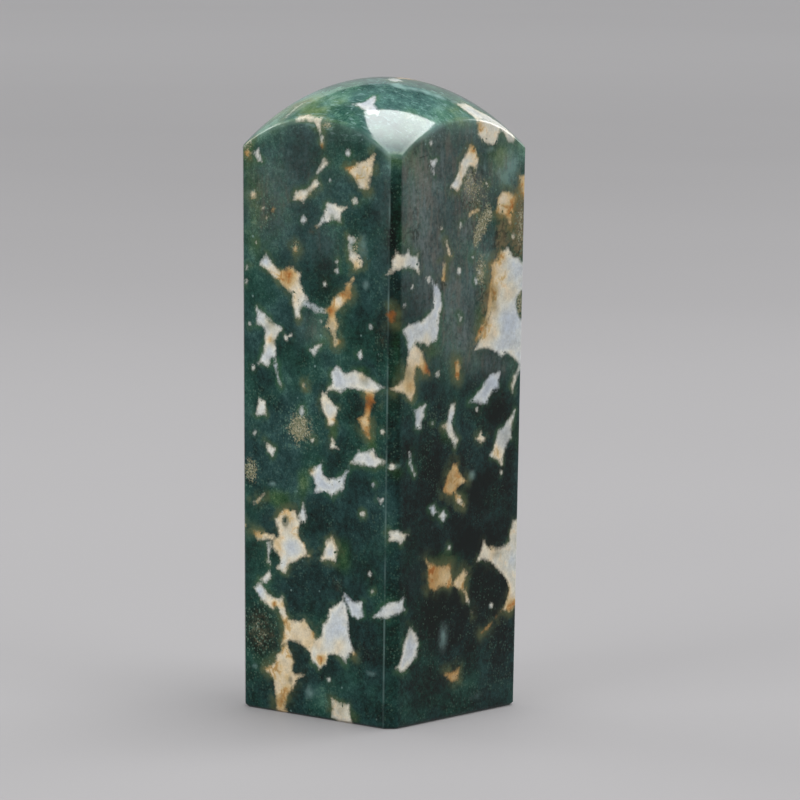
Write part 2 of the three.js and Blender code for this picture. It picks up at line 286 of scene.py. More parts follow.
RIGHT_PATCHES = [
    (0.6, [(6.5, 55.3), (5.3, 54.2), (5.1, 52.4), (4.9, 50.8), (4.6, 49.3), (4.0, 47.8), (3.1, 46.4),
     (1.8, 44.3), (4.1, 46.1), (5.2, 47.8), (5.8, 49.3), (5.8, 50.8), (5.9, 52.4), (6.2, 54.0)]),
    (0.22, [(2.2, 72.0), (2.6, 70.0), (3.3, 69.0), (4.6, 68.5), (5.9, 68.6), (6.7, 70.2), (8.0, 68.5),
     (9.6, 68.0), (9.6, 70.0), (6.0, 71.6)]),
    (0.27, [(1.1, 69.0), (1.9, 68.2), (2.6, 66.9), (2.1, 65.4), (1.7, 66.1), (0.8, 66.3), (0.1, 65.3),
     (-0.6, 64.1), (-1.2, 63.4), (-2.6, 63.8), (-1.1, 65.6), (-0.9, 66.6), (0.3, 67.6)]),
    (0.08, [(-6.4, 67.1), (-5.2, 67.3), (-5.6, 66.5), (-6.0, 66.7)]),
    (0.08, [(-6.2, 66.0), (-5.6, 66.0), (-5.7, 65.5)]),
    (0.45, [(6.4, 62.2), (7.3, 62.9), (9.0, 62.6), (9.9, 61.9), (9.2, 60.6), (8.9, 58.8), (7.9, 59.9),
     (6.1, 60.4)]),
    (0.38, [(0.9, 60.2), (2.9, 60.9), (1.4, 60.9)]),
    (0.5, [(10.5, 64.4), (11.6, 64.8), (12.2, 62.4), (11.4, 61.2), (10.7, 62.4)]),
    (0.26, [(-3.5, 57.6), (-3.1, 57.5), (-2.2, 55.7), (-2.6, 55.8)]),
    (0.32, [(-3.8, 55.0), (-3.3, 54.9), (-3.5, 52.9), (-3.8, 53.6)]),
    (0.18, [(-12.4, 55.7), (-12.1, 57.0), (-11.1, 56.2), (-10.2, 56.9), (-9.3, 56.1), (-8.3, 56.5),
     (-8.2, 55.2), (-8.0, 54.0), (-9.2, 54.7), (-11.6, 54.8), (-13.2, 53.9), (-12.3, 54.9)]),
    (0.1, [(-6.8, 53.3), (-6.2, 53.4), (-6.0, 52.8), (-6.5, 52.8)]),
    (0.06, [(-5.7, 53.0), (-4.8, 52.3), (-4.1, 51.3), (-3.9, 50.0), (-4.5, 47.3), (-4.6, 45.9),
     (-6.3, 45.5), (-7.5, 45.8), (-8.6, 46.0), (-9.3, 45.2), (-9.9, 44.9), (-10.2, 46.3), (-10.9, 47.5),
     (-9.9, 48.1), (-7.6, 48.3), (-6.2, 48.9), (-5.4, 50.0)]),
    (0.38, [(-9.7, 45.2), (-8.9, 45.9), (-7.4, 44.7), (-6.4, 42.9), (-5.9, 41.9), (-6.9, 42.1),
     (-8.4, 43.1), (-8.6, 41.7), (-8.7, 40.1), (-9.1, 38.9), (-10.2, 39.8), (-12.5, 40.6),
     (-10.9, 41.6), (-10.5, 42.9)]),
    (0.5, [(-1.4, 43.1), (-0.6, 43.0), (-0.3, 42.2), (-0.6, 40.9), (-1.1, 41.2), (-1.3, 42.1)]),
    (0.08, [(-0.8, 48.7), (0.0, 48.3), (-0.3, 47.8)]),
    (0.02, [(1.5, 38.0), (3.1, 39.0), (4.4, 40.0), (5.4, 40.9), (7.3, 41.1), (7.0, 39.1), (6.2, 39.0),
     (5.4, 38.5), (4.9, 37.6), (3.5, 37.7)]),
    (0.15, [(-1.1, 38.1), (-1.4, 37.0), (-1.8, 35.7), (-1.2, 34.4), (-0.5, 33.6), (-1.0, 32.8),
     (-2.0, 34.1), (-2.7, 34.9), (-3.6, 35.3), (-2.5, 36.1), (-2.0, 37.8)]),
    (0.04, [(-9.3, 38.1), (-6.6, 38.4), (-7.0, 37.0), (-7.5, 35.5), (-8.4, 35.7)]),
    (0.12, [(10.3, 36.2), (9.7, 33.0), (8.5, 31.6), (7.9, 29.8), (7.2, 30.6), (5.7, 31.2), (6.5, 32.4),
     (7.1, 34.0), (8.7, 34.9)]),
    (0.2, [(2.9, 33.4), (3.8, 34.2), (4.6, 33.2), (3.8, 33.0)]),
    (0.14, [(7.2, 55.6), (6.5, 54.6), (5.4, 54.0), (5.5, 52.3), (5.4, 50.9), (5.5, 49.3), (4.9, 47.8),
     (3.9, 46.5), (2.5, 44.2), (5.0, 44.2), (6.2, 43.8), (7.6, 42.9), (8.7, 43.4), (10.0, 42.7),
     (11.0, 41.7), (14.2, 43.6), (12.9, 45.8), (10.8, 47.4), (10.2, 48.8), (10.2, 50.0), (11.0, 50.6),
     (13.2, 51.0), (15.4, 53.4), (9.7, 54.8), (8.4, 56.0)]),
    (0.14, [(9.5, 39.3), (9.8, 38.4), (10.3, 39.6), (11.3, 41.3), (11.0, 41.7), (9.9, 40.3)]),
    (0.2, [(-6.4, -1.6), (-4.8, -2.4), (-3.0, -2.0), (-4.0, -3.6), (-4.4, -5.2), (-5.4, -3.8)]),
    (0.4, [(4.4, -2.6), (5.8, -1.8), (7.4, -2.4), (6.4, -3.4), (6.6, -5.4), (5.2, -4.0)]),
    (0.55, [(-1.2, 30.9), (-0.6, 30.7), (-0.2, 29.6), (1.2, 28.4), (-0.2, 28.2), (-0.8, 27.4),
     (-1.9, 27.1), (-3.2, 27.7), (-2.6, 29.1)]),
    (0.35, [(-1.2, 27.3), (0.2, 26.8), (0.8, 25.6), (-0.2, 25.9)]),
    (0.04, [(-5.6, 25.9), (-4.8, 26.1), (-4.0, 25.2), (-4.9, 25.0)]),
    (0.06, [(-3.8, 24.8), (-3.0, 25.2), (-2.4, 24.7), (-3.1, 24.2)]),
    (0.05, [(-9.6, 33.0), (-9.2, 32.9), (-9.1, 31.7), (-8.4, 30.2), (-9.0, 30.9), (-9.4, 31.7)]),
    (0.16, [(-12.3, 23.7), (-11.3, 23.8), (-9.6, 23.1), (-10.8, 22.3), (-12.1, 22.7)]),
    (0.55, [(-6.2, 19.9), (-5.0, 19.1), (-3.2, 18.7), (-1.6, 18.6), (-1.3, 17.3), (-1.2, 16.2),
     (-1.9, 15.9), (-3.2, 16.3), (-4.3, 15.9), (-5.6, 16.4), (-5.6, 17.7)]),
    (0.42, [(-1.2, 16.3), (-0.2, 17.1), (0.9, 17.7), (1.6, 17.3), (1.1, 16.4), (1.1, 15.1), (0.0, 15.7)]),
    (0.24, [(4.7, 21.0), (5.2, 20.2), (6.3, 19.9), (8.7, 19.8), (9.8, 20.2), (9.8, 21.4), (10.3, 22.7),
     (13.4, 23.4), (15.2, 19.4), (14.0, 15.0), (11.8, 12.5), (10.0, 11.7), (8.5, 12.0), (9.7, 13.7),
     (9.8, 14.8), (9.1, 15.8), (8.1, 16.7), (7.0, 17.6), (5.7, 18.4), (3.5, 18.6), (4.3, 19.7)]),
    (0.1, [(-9.3, 12.3), (-8.5, 12.1), (-7.8, 11.2), (-7.3, 9.8), (-7.6, 8.4), (-8.6, 7.6),
     (-10.2, 6.9), (-11.2, 7.2), (-10.4, 8.6), (-9.9, 10.2)]),
    (0.34, [(0.9, 15.4), (1.4, 15.3), (2.2, 13.9), (3.0, 12.3), (2.4, 12.6), (1.5, 14.1)]),
    (0.62, [(8.9, 12.3), (7.4, 11.0), (5.8, 10.0), (4.4, 9.6), (5.6, 10.4), (7.2, 11.6)]),
    (0.6, [(-2.4, 5.5), (0.3, 5.8), (0.1, 4.5), (-0.8, 4.4), (-1.7, 4.9)]),
]

# On the dome and under the foot, everything is placed by (x, y) instead
DOME_PATCHES = [
    (0.03, [(4.4, -7.0), (5.0, -7.7), (5.5, -8.5), (6.7, -9.0), (7.1, -9.5), (6.1, -9.9), (4.8, -9.7),
     (3.2, -9.5), (4.2, -8.7)]),
    (0.02, [(8.9, -7.0), (9.6, -6.1), (10.9, -6.0), (10.9, -7.4), (9.9, -8.0)]),
    (0.2, [(-3.4, -12.1), (-1.6, -11.9), (0.6, -12.2), (0.9, -12.7), (-0.8, -12.6), (-2.8, -12.5)]),
    (0.2, [(-6.7, -8.8), (-5.2, -9.6), (-4.6, -9.2), (-4.9, -10.3), (-5.4, -11.6), (-5.8, -11.4),
     (-5.5, -10.3)]),
    (0.5, [(0.4, 1.4), (2.2, -0.2), (2.8, 1.3), (3.0, 3.3), (2.6, 5.0), (0.6, 3.9)]),
    (0.06, [(1.7, -2.0), (1.4, -0.7), (2.4, -0.1), (3.6, -0.9), (3.3, -2.3)]),
    (0.14, [(9.5, 3.3), (10.2, 1.2), (11.2, 1.5), (12.6, 2.2), (12.6, 9.3), (12.0, 9.8), (11.4, 8.0),
     (10.9, 6.0), (10.6, 4.5)]),
]

FOOT_PATCHES = [
    (0.4, [(-6.2, -12.6), (-4.0, -12.6), (-4.4, -9.6), (-5.2, -8.2), (-6.4, -9.9)]),
    (0.28, [(2.8, -12.6), (6.2, -12.6), (5.3, -10.4), (4.0, -10.9)]),
]

# Stains on the light patches are (place across, height, radius, warmth)
FRONT_STAINS = [
    (0.8, 69.8, 0.6, 0.05), (0.9, 68.5, 0.35, 0.9), (5.0, 66.3, 0.6, 0.6), (7.6, 65.2, 0.8, 0.36),
    (-2.9, 62.2, 0.6, 0.28), (-0.2, 58.6, 0.5, 0.85), (6.3, 54.9, 0.6, 0.5), (5.6, 57.2, 0.9, 0.08),
    (-8.0, 54.4, 0.8, 0.0), (-4.3, 52.9, 1.6, 0.7), (-2.5, 51.0, 0.8, 0.32), (-2.8, 48.7, 0.7, 0.1),
    (5.0, 51.5, 1.0, 0.6), (3.7, 50.5, 0.6, 0.28), (2.4, 49.2, 0.7, 0.74), (2.7, 47.2, 0.9, 0.36),
    (3.3, 45.9, 0.7, 0.3), (-8.9, 47.6, 0.6, 0.02), (-6.9, 46.6, 0.7, 0.22), (-7.0, 44.9, 0.7, 0.34),
    (-7.6, 42.9, 0.8, 0.04), (3.4, 41.0, 1.2, 0.0), (7.4, 41.8, 0.9, 0.32), (8.6, 38.9, 0.8, 0.84),
    (7.7, 36.5, 0.9, 0.44), (2.4, 37.5, 1.0, 0.12), (3.1, 36.4, 0.5, 0.4), (-0.6, 29.8, 0.7, 0.34),
    (9.2, 32.6, 0.6, 0.25), (-4.3, 24.2, 1.2, 0.3), (-3.5, 20.2, 1.4, 0.04), (-6.0, 20.4, 0.8, 0.5),
    (-4.9, 18.2, 0.7, 0.1), (-8.7, 14.2, 0.8, 0.0), (-6.3, 13.1, 0.4, 0.84), (-5.0, 13.2, 0.5, 0.5),
    (-3.5, 10.3, 1.3, 0.34), (-1.2, 9.6, 1.0, 0.46), (3.5, 11.2, 1.6, 0.03), (4.0, 9.0, 1.2, 0.3),
    (1.2, 7.4, 0.8, 0.6), (0.8, 8.9, 0.7, 0.42), (-4.4, 4.6, 0.6, 0.52), (-5.3, 1.5, 1.0, 0.56),
    (-5.2, 6.4, 0.8, 0.3), (2.4, 20.2, 0.9, 0.08), (4.4, 1.4, 0.9, 0.24), (-1.0, 10.4, 0.9, 0.4),
    (-2.6, 10.2, 0.8, 0.36), (-5.2, 5.4, 1.1, 0.42), (-4.2, 2.6, 0.7, 0.6), (7.0, 64.2, 0.5, 0.24),
]

RIGHT_STAINS = [
    (4.4, 69.4, 1.4, 0.28), (8.6, 68.6, 0.9, 0.12), (2.7, 70.8, 0.8, 0.55), (1.4, 68.3, 0.8, 0.54),
    (-1.8, 64.2, 0.8, 0.08), (0.2, 66.6, 1.0, 0.2), (7.2, 61.8, 0.9, 0.36), (8.9, 61.0, 0.8, 0.58),
    (-3.3, 53.5, 0.5, 0.5), (-11.4, 55.8, 0.9, 0.28), (-9.2, 55.6, 0.9, 0.06), (-4.7, 51.6, 0.9, 0.0),
    (-8.2, 47.2, 1.4, 0.08), (-6.6, 46.1, 1.0, 0.24), (-9.9, 42.2, 1.0, 0.48), (-9.5, 40.7, 0.9, 0.6),
    (-6.4, 42.5, 0.9, 0.8), (-8.5, 44.4, 0.8, 0.34), (-11.6, 40.7, 0.8, 0.4), (5.0, 39.6, 1.6, 0.0),
    (-1.6, 36.4, 0.9, 0.05), (-3.0, 35.3, 0.6, 0.28), (-1.3, 42.6, 0.4, 0.74), (2.3, 13.4, 0.9, 0.1),
    (8.8, 33.6, 1.1, 0.12), (7.2, 31.4, 0.8, 0.34), (8.8, 46.5, 2.8, 0.0), (10.4, 53.4, 1.8, 0.03),
    (8.8, 50.6, 1.3, 0.34), (7.4, 52.6, 1.0, 0.36), (6.2, 53.4, 1.1, 0.44), (6.0, 51.0, 1.2, 0.5),
    (5.8, 49.0, 1.2, 0.48), (5.1, 47.2, 1.1, 0.45), (4.6, 45.6, 1.3, 0.4), (6.2, 46.2, 1.0, 0.34),
    (7.4, 55.0, 0.9, 0.5), (11.0, 43.6, 1.0, 0.12), (-1.4, 29.4, 0.9, 0.58), (-2.4, 27.8, 0.7, 0.56),
    (0.4, 28.5, 0.6, 0.44), (-4.4, 17.7, 1.2, 0.66), (-2.2, 17.4, 1.1, 0.5), (10.6, 18.0, 1.4, 0.08),
    (8.4, 18.9, 1.2, 0.22), (6.4, 19.2, 1.0, 0.36), (10.2, 12.6, 0.9, 0.6), (9.4, 14.2, 0.7, 0.42),
    (-9.0, 9.2, 1.2, 0.04), (-0.6, 5.1, 0.9, 0.56),
]

# Soft spots are (place across, height, radius across, radius up, strength): pale hazes, round parts
# with sandy grains, lighter and darker tones, and parts where the green turns to olive
FRONT_HAZES = [
    (7.3, 57.0, 1.1, 2.2, 0.65), (-6.5, 56.7, 0.9, 0.5, 0.5), (-3.1, 56.3, 0.4, 0.5, 0.6),
    (7.9, 52.6, 0.7, 0.7, 0.7), (1.4, 52.4, 0.4, 0.4, 0.5), (-6.7, 27.7, 0.8, 0.4, 0.8),
    (-0.6, 3.0, 1.0, 1.0, 0.7), (-9.4, 5.2, 0.6, 0.5, 0.7), (9.0, 6.5, 1.2, 0.5, 0.6),
    (2.4, 4.9, 0.4, 0.5, 0.7), (-4.3, 31.2, 0.8, 0.3, 0.4), (5.4, 30.8, 0.4, 0.7, 0.6),
    (-1.6, 39.9, 0.4, 0.6, 0.6), (10.6, 35.7, 0.4, 0.5, 0.6), (-10.8, 62.4, 0.6, 0.6, 0.5),
    (8.3, 63.0, 0.5, 1.0, 0.4), (-9.8, 62.4, 0.5, 0.6, 0.7), (-9.5, 33.7, 0.4, 0.5, 0.6),
    (-4.2, 67.6, 0.9, 0.6, 0.45), (1.0, 15.8, 0.5, 0.5, 0.3), (-5.6, 65.4, 1.4, 0.4, 0.4),
    (11.6, 31.4, 0.8, 0.4, 0.5),
]
RIGHT_HAZES = [
    (3.8, 66.1, 0.5, 1.0, 0.6), (4.8, 68.0, 1.6, 0.5, 0.6), (6.5, 65.3, 0.7, 0.6, 0.6),
    (8.4, 66.2, 0.6, 0.5, 0.5), (-4.0, 58.0, 0.9, 0.7, 0.5), (-2.3, 55.6, 0.7, 0.7, 0.5),
    (2.2, 29.1, 0.8, 0.8, 0.85), (-2.7, 10.0, 1.1, 2.1, 0.75), (6.2, 12.8, 0.6, 0.5, 0.6),
    (3.5, 2.0, 2.4, 0.8, 0.4), (-11.4, 31.5, 0.6, 0.4, 0.6), (-5.0, 23.5, 0.4, 0.3, 0.6),
    (-9.2, 31.8, 0.4, 1.4, 0.5), (-7.9, 42.6, 0.6, 2.0, 0.25), (-4.6, 41.7, 0.4, 0.3, 0.7),
    (-6.4, 53.1, 0.6, 0.5, 0.5), (5.8, 38.0, 0.8, 0.5, 0.25),
]
FRONT_ORBS = [
    (-2.4, 34.8, 1.2, 1.2, 1.3), (-10.2, 28.9, 1.0, 1.3, 0.8), (-8.5, 9.4, 2.8, 3.4, 0.2),
    (-10.9, 68.6, 0.8, 1.8, 0.5), (-2.4, 34.8, 3.4, 3.2, 0.14), (-3.2, 56.4, 0.5, 0.6, 0.6),
    (6.2, 56.6, 0.5, 1.6, 0.5), (1.8, 71.1, 0.7, 0.5, 0.6), (-8.4, 60.5, 2.6, 3.6, 0.12),
]
RIGHT_ORBS = [
    (10.8, 58.5, 0.9, 3.6, 0.4), (2.5, 57.7, 0.6, 0.9, 1.2), (3.5, 59.1, 0.7, 0.9, 1.3),
    (4.6, 60.4, 0.6, 0.9, 1.2), (0.9, 64.2, 1.0, 1.4, 0.45), (2.4, 63.0, 2.4, 2.4, 0.3),
    (10.9, 49.2, 0.6, 1.6, 0.8), (3.4, 53.6, 0.8, 1.6, 0.9),
]
FRONT_TONES = [
    (0.0, 38.0, 15.0, 44.0, 0.12), (-2.4, 34.8, 3.4, 3.2, 0.3),
    (-2.0, 15.5, 3.6, 3.2, 0.5), (-8.5, 9.4, 3.0, 3.4, -0.9), (-6.6, 51.0, 3.0, 2.0, 0.5),
    (0.0, 46.8, 2.6, 2.0, 0.9), (-4.0, 42.0, 3.0, 2.4, 0.2), (-5.0, 29.6, 3.4, 1.8, 0.5),
    (6.6, 26.6, 3.0, 1.6, 0.4), (-9.6, 57.4, 2.0, 4.0, 0.3), (0.5, 3.0, 1.6, 1.6, 1.2),
    (9.6, 60.0, 1.4, 2.0, -0.5), (10.2, 46.8, 1.6, 2.2, -0.6), (-2.0, 69.4, 3.4, 1.8, 0.2),
    (8.6, 70.0, 2.0, 1.2, 0.5), (5.0, 70.0, 3.0, 1.6, 0.2), (11.6, 24.0, 1.2, 4.6, 0.8),
    (10.6, 66.6, 1.2, 2.2, 0.5), (7.0, 4.4, 2.0, 1.6, 0.3), (4.4, 19.8, 2.0, 2.6, 0.3),
    (-1.2, 27.8, 1.6, 2.0, 0.5), (-4.6, 26.6, 2.6, 1.2, 0.5), (8.4, 33.0, 3.0, 2.0, 0.3),
    (1.6, 53.0, 2.6, 2.8, -0.9), (11.4, 42.6, 1.0, 2.6, 0.3),
]
RIGHT_TONES = [
    (0.0, 70.4, 3.0, 1.6, 0.7), (8.0, 65.7, 2.6, 2.8, 1.6), (-8.4, 63.0, 3.4, 6.0, 0.2),
    (-2.0, 50.0, 3.4, 6.0, 0.5), (1.0, 45.0, 3.2, 2.6, 0.6), (6.4, 42.2, 3.0, 1.2, 0.6),
    (7.2, 36.6, 2.8, 2.4, -1.3), (0.0, 18.0, 16.0, 20.0, -1.05), (-3.0, 12.4, 4.4, 3.2, -0.8),
    (5.8, 15.0, 3.2, 3.0, -0.4), (-6.0, 30.0, 4.0, 5.0, -0.8), (4.0, 25.0, 4.0, 4.0, -0.2),
    (4.0, 54.0, 2.0, 3.0, 0.7), (10.8, 27.6, 1.0, 4.6, 0.9), (-3.2, 20.4, 3.0, 1.6, 0.3),
    (7.0, 8.0, 3.4, 2.0, 0.2), (-12.4, 26.0, 1.4, 4.6, 0.8), (-12.6, 59.6, 1.0, 3.0, -0.9),
    (-9.4, 37.8, 1.6, 1.8, 0.2), (-0.4, 36.4, 2.0, 3.0, 0.1), (2.0, 2.6, 4.0, 1.8, 0.6),
]
FRONT_OLIVES = [
    (-9.6, 60.0, 2.2, 6.5, 0.6), (-10.8, 68.6, 1.2, 2.4, 0.9), (-5.2, 26.0, 2.4, 1.3, 0.9),
    (-1.8, 28.0, 1.2, 2.2, 0.8), (4.4, 20.2, 1.6, 3.0, 0.8), (3.0, 34.9, 0.7, 1.4, 0.8),
    (8.9, 33.8, 0.7, 1.4, 0.8), (-8.4, 9.4, 3.4, 4.4, 0.4), (0.6, 70.6, 1.8, 1.2, 0.7),
    (7.2, 42.4, 1.6, 0.7, 0.7), (-6.6, 45.0, 1.4, 1.4, 0.4), (-5.2, 51.5, 1.4, 0.8, 0.4),
    (7.8, 62.8, 1.4, 1.6, 0.4), (12.2, 47.0, 0.8, 2.0, 0.5), (6.4, 0.8, 1.0, 1.0, 0.5),
    (-3.2, 12.0, 2.0, 0.8, 0.5),
]
RIGHT_OLIVES = [
    (3.4, 47.8, 1.8, 3.4, 0.9), (4.2, 53.0, 1.2, 1.6, 0.8), (-5.2, 44.6, 1.6, 1.0, 0.8),
    (-3.0, 19.6, 3.4, 1.0, 0.9), (-3.0, 34.2, 1.2, 0.9, 0.8), (0.4, 27.0, 1.4, 1.6, 0.5),
    (2.0, 62.4, 3.4, 3.6, 0.5), (9.8, 57.0, 1.8, 4.4, 0.6), (7.2, 58.0, 1.2, 2.4, 0.8),
    (-11.2, 30.4, 1.0, 0.9, 0.8), (9.4, 37.6, 1.6, 2.6, 0.5), (-10.8, 58.0, 1.4, 1.6, 0.5),
    (6.4, 67.4, 3.0, 1.6, 0.6), (-0.6, 42.0, 1.2, 1.0, 0.6), (10.8, 33.0, 1.0, 3.0, 0.5),
    (-8.8, 66.2, 2.0, 2.6, 0.5),
]

# Small round spots of light matter are (across, height, radius, warmth)
FRONT_SPECKS = [
    (6.2, 62.4, 0.42, 0.15), (5.1, 68.0, 0.36, 0.1), (2.2, 64.6, 0.2, 0.1), (3.4, 55.1, 0.26, 0.12),
    (3.4, 54.0, 0.3, 0.1), (1.5, 52.3, 0.32, 0.1), (-10.9, 53.4, 0.34, 0.15), (-11.0, 51.8, 0.26, 0.2),
    (-9.4, 56.6, 0.26, 0.1), (-8.2, 60.7, 0.22, 0.2), (-6.7, 60.7, 0.28, 0.6), (-7.7, 59.7, 0.26, 0.3),
    (-9.9, 62.3, 0.46, 0.34), (-3.2, 56.2, 0.34, 0.55), (-4.6, 45.5, 0.26, 0.1),
    (-3.9, 45.8, 0.22, 0.1), (-0.3, 33.5, 0.34, 0.15), (-9.6, 33.6, 0.34, 0.1), (9.3, 29.0, 0.24, 0.05),
    (7.5, 25.4, 0.28, 0.1), (-1.7, 40.0, 0.26, 0.35), (8.7, 18.4, 0.26, 0.05), (9.1, 16.3, 0.2, 0.1),
    (2.4, 5.0, 0.26, 0.1), (-10.8, 67.2, 0.4, 0.6), (8.6, 47.7, 0.26, 0.1), (0.9, 47.8, 0.24, 0.12),
    (10.6, 35.5, 0.3, 0.12), (-10.4, 46.7, 0.24, 0.1), (-9.8, 41.5, 0.22, 0.1), (11.9, 31.4, 0.4, 0.1),
    (6.3, 8.6, 0.3, 0.55),
]
RIGHT_SPECKS = [
    (-4.1, 59.1, 0.18, 0.2), (-0.5, 59.3, 0.32, 0.12), (-9.4, 52.4, 0.3, 0.1), (-10.7, 50.5, 0.3, 0.1),
    (-6.3, 69.2, 0.3, 0.1), (-0.7, 53.8, 0.32, 0.05), (1.8, 55.3, 0.26, 0.12), (-4.5, 41.8, 0.36, 0.15),
    (-5.3, 36.1, 0.2, 0.1), (9.4, 57.4, 0.3, 0.14), (4.2, 63.8, 0.22, 0.15), (-3.7, 53.1, 0.22, 0.6),
    (3.0, 53.4, 0.34, 0.1), (2.4, 52.4, 0.3, 0.1), (7.8, 29.0, 0.24, 0.1), (6.3, 12.8, 0.34, 0.15),
    (-1.9, 20.8, 0.26, 0.12), (3.0, 37.0, 0.22, 0.12),
]

# Soft spots where the light matter is thin and see-through
FRONT_THINNED = [
    (6.1, 56.9, 0.5, 0.7, 0.4), (-4.6, 23.4, 0.4, 0.5, 2.6), (2.6, 60.4, 0.4, 0.35, 0.8),
    (-6.4, 44.8, 0.8, 0.6, 0.7), (-2.9, 62.6, 1.2, 0.8, 0.15), (2.6, 61.0, 1.6, 1.2, 0.1),
    (7.6, 13.9, 0.8, 0.7, 0.3), (-3.7, 4.2, 0.35, 0.6, 0.9), (5.4, 31.6, 0.8, 0.5, 0.25),
    (-0.9, 63.4, 0.9, 0.6, 0.5), (5.8, 57.2, 0.8, 1.1, 0.55), (-7.2, 46.8, 1.2, 0.9, 0.6),
    (-10.2, 21.6, 2.0, 0.8, 0.6), (8.7, 38.8, 0.5, 0.7, 0.45), (4.2, 1.6, 1.4, 1.2, 0.5),
    (7.3, 65.4, 1.2, 1.2, 0.45), (7.8, 41.3, 0.9, 0.8, 0.6), (4.9, 51.6, 0.8, 0.8, 0.5),
    (-4.2, 23.0, 1.0, 1.0, 0.3), (-5.0, 1.2, 1.2, 1.2, 0.4), (0.8, 70.2, 0.8, 1.6, 0.2),
    (2.6, 47.2, 1.0, 1.3, 0.45), (0.2, 49.4, 1.5, 0.6, 0.4), (11.7, 49.2, 0.8, 0.8, 0.25),
]
RIGHT_THINNED = [
    (7.1, 69.4, 0.6, 0.6, 0.8), (8.6, 68.4, 1.4, 0.8, 0.8), (3.8, 69.0, 1.4, 0.9, 0.1),
    (-8.6, 36.8, 1.4, 1.5, 0.3), (7.4, 61.0, 0.4, 0.8, 0.5), (2.5, 13.3, 0.8, 1.1, 0.7),
    (-9.0, 11.6, 1.2, 1.2, 0.5), (6.8, 11.3, 1.6, 0.9, 0.85), (-3.8, 18.4, 1.4, 0.5, 0.15),
    (3.9, 33.6, 0.6, 0.5, 0.15), (-9.0, 32.0, 0.4, 0.8, 0.15), (6.0, 19.9, 1.2, 0.4, 0.1),
    (8.6, 33.4, 1.4, 1.6, 0.45), (4.2, 68.3, 1.6, 0.5, 0.5), (-3.0, 35.3, 0.6, 0.5, 0.5),
    (-10.0, 42.3, 1.2, 1.2, 0.6), (5.2, 39.6, 1.6, 1.0, 0.25), (7.5, 19.0, 1.4, 0.6, 0.55),
    (-7.6, 44.0, 0.7, 0.8, 0.2), (-1.6, 28.9, 0.8, 0.8, 0.35), (-9.2, 55.9, 1.4, 1.0, 0.3),
    (6.2, 50.0, 0.8, 2.4, 0.55), (4.8, 52.6, 0.6, 2.6, 0.5), (4.2, 48.0, 0.7, 2.2, 0.5),
    (-8.8, 37.0, 0.6, 1.2, 0.4), (10.8, 61.9, 0.9, 1.4, 0.5), (-1.4, 41.8, 0.4, 1.0, 0.2),
]

# Round dark cells of the ground are (across, height, radius across, radius up)
FRONT_CELLS = [
    (-4.6, 23.4, 0.6, 0.7), (-3.2, 69.2, 3.3, 1.9), (5.4, 69.9, 3.6, 1.9), (-2.2, 66.1, 2.9, 1.6),
    (3.6, 64.4, 2.1, 1.8), (-1.2, 60.9, 2.0, 1.6), (8.6, 60.2, 1.8, 2.2), (1.6, 52.5, 2.7, 2.8),
    (-8.6, 51.2, 2.5, 2.1), (-0.2, 47.3, 1.9, 1.8), (6.9, 47.4, 2.9, 2.9), (10.4, 47.0, 1.6, 2.5),
    (-8.2, 40.1, 1.9, 1.8), (-3.2, 42.6, 2.3, 2.3), (5.9, 37.8, 2.1, 2.2), (2.4, 31.8, 1.9, 1.9),
    (5.8, 34.0, 1.9, 1.6), (-9.0, 24.0, 2.3, 1.7), (1.4, 24.9, 2.4, 2.3), (6.4, 28.3, 2.7, 2.2),
    (-9.7, 18.5, 1.9, 2.1), (-5.9, 15.7, 1.0, 1.4), (-0.9, 15.6, 3.8, 3.4), (3.7, 16.6, 1.6, 1.7),
    (9.4, 10.2, 3.4, 3.2), (-2.1, 7.4, 1.9, 1.4), (2.8, 5.0, 2.6, 2.1), (-9.4, 2.6, 2.2, 2.2),
    (0.7, 11.0, 0.8, 1.1), (-8.6, 9.7, 3.3, 3.3), (-1.1, 22.4, 1.8, 2.3), (-6.2, 18.6, 0.9, 1.5),
    (7.6, 17.6, 2.3, 1.7), (-2.4, 2.2, 1.1, 1.7), (-6.4, 37.6, 1.4, 1.9), (11.6, 57.0, 1.4, 3.6),
    (11.6, 34.0, 1.6, 3.0),
]
RIGHT_CELLS = [
    (-8.6, 51.5, 3.4, 2.6), (-6.0, 56.9, 1.9, 1.6), (-3.4, 69.4, 3.8, 2.0), (-3.4, 65.9, 1.9, 1.7),
    (0.8, 58.2, 2.0, 1.6), (-0.8, 54.4, 1.7, 1.5), (-6.4, 40.0, 2.0, 1.5), (6.9, 41.6, 3.7, 2.4),
    (7.3, 37.0, 2.8, 2.5), (3.2, 35.8, 1.6, 1.4), (-5.8, 33.4, 2.4, 2.4), (-5.8, 28.6, 3.0, 2.4),
    (0.9, 32.2, 1.7, 1.7), (4.6, 26.4, 3.2, 2.8), (9.4, 26.4, 2.0, 3.0), (-7.0, 22.6, 3.0, 2.1),
    (7.3, 22.2, 2.5, 1.9), (0.6, 22.4, 3.0, 2.2), (5.7, 14.6, 4.0, 3.8), (-3.0, 11.9, 4.6, 4.0),
    (7.8, 7.8, 3.3, 2.7), (2.9, 7.4, 1.7, 2.6), (-9.6, 18.0, 2.0, 2.6), (-1.8, 38.9, 2.4, 1.5),
    (-6.0, 4.6, 3.0, 2.8), (2.0, 2.0, 3.0, 1.6), (3.6, 21.0, 1.6, 1.5), (-9.6, 34.0, 1.2, 2.2),
    (4.2, 44.2, 2.4, 1.2), (-10.8, 28.4, 1.5, 2.2), (9.8, 30.0, 1.4, 2.2),
]
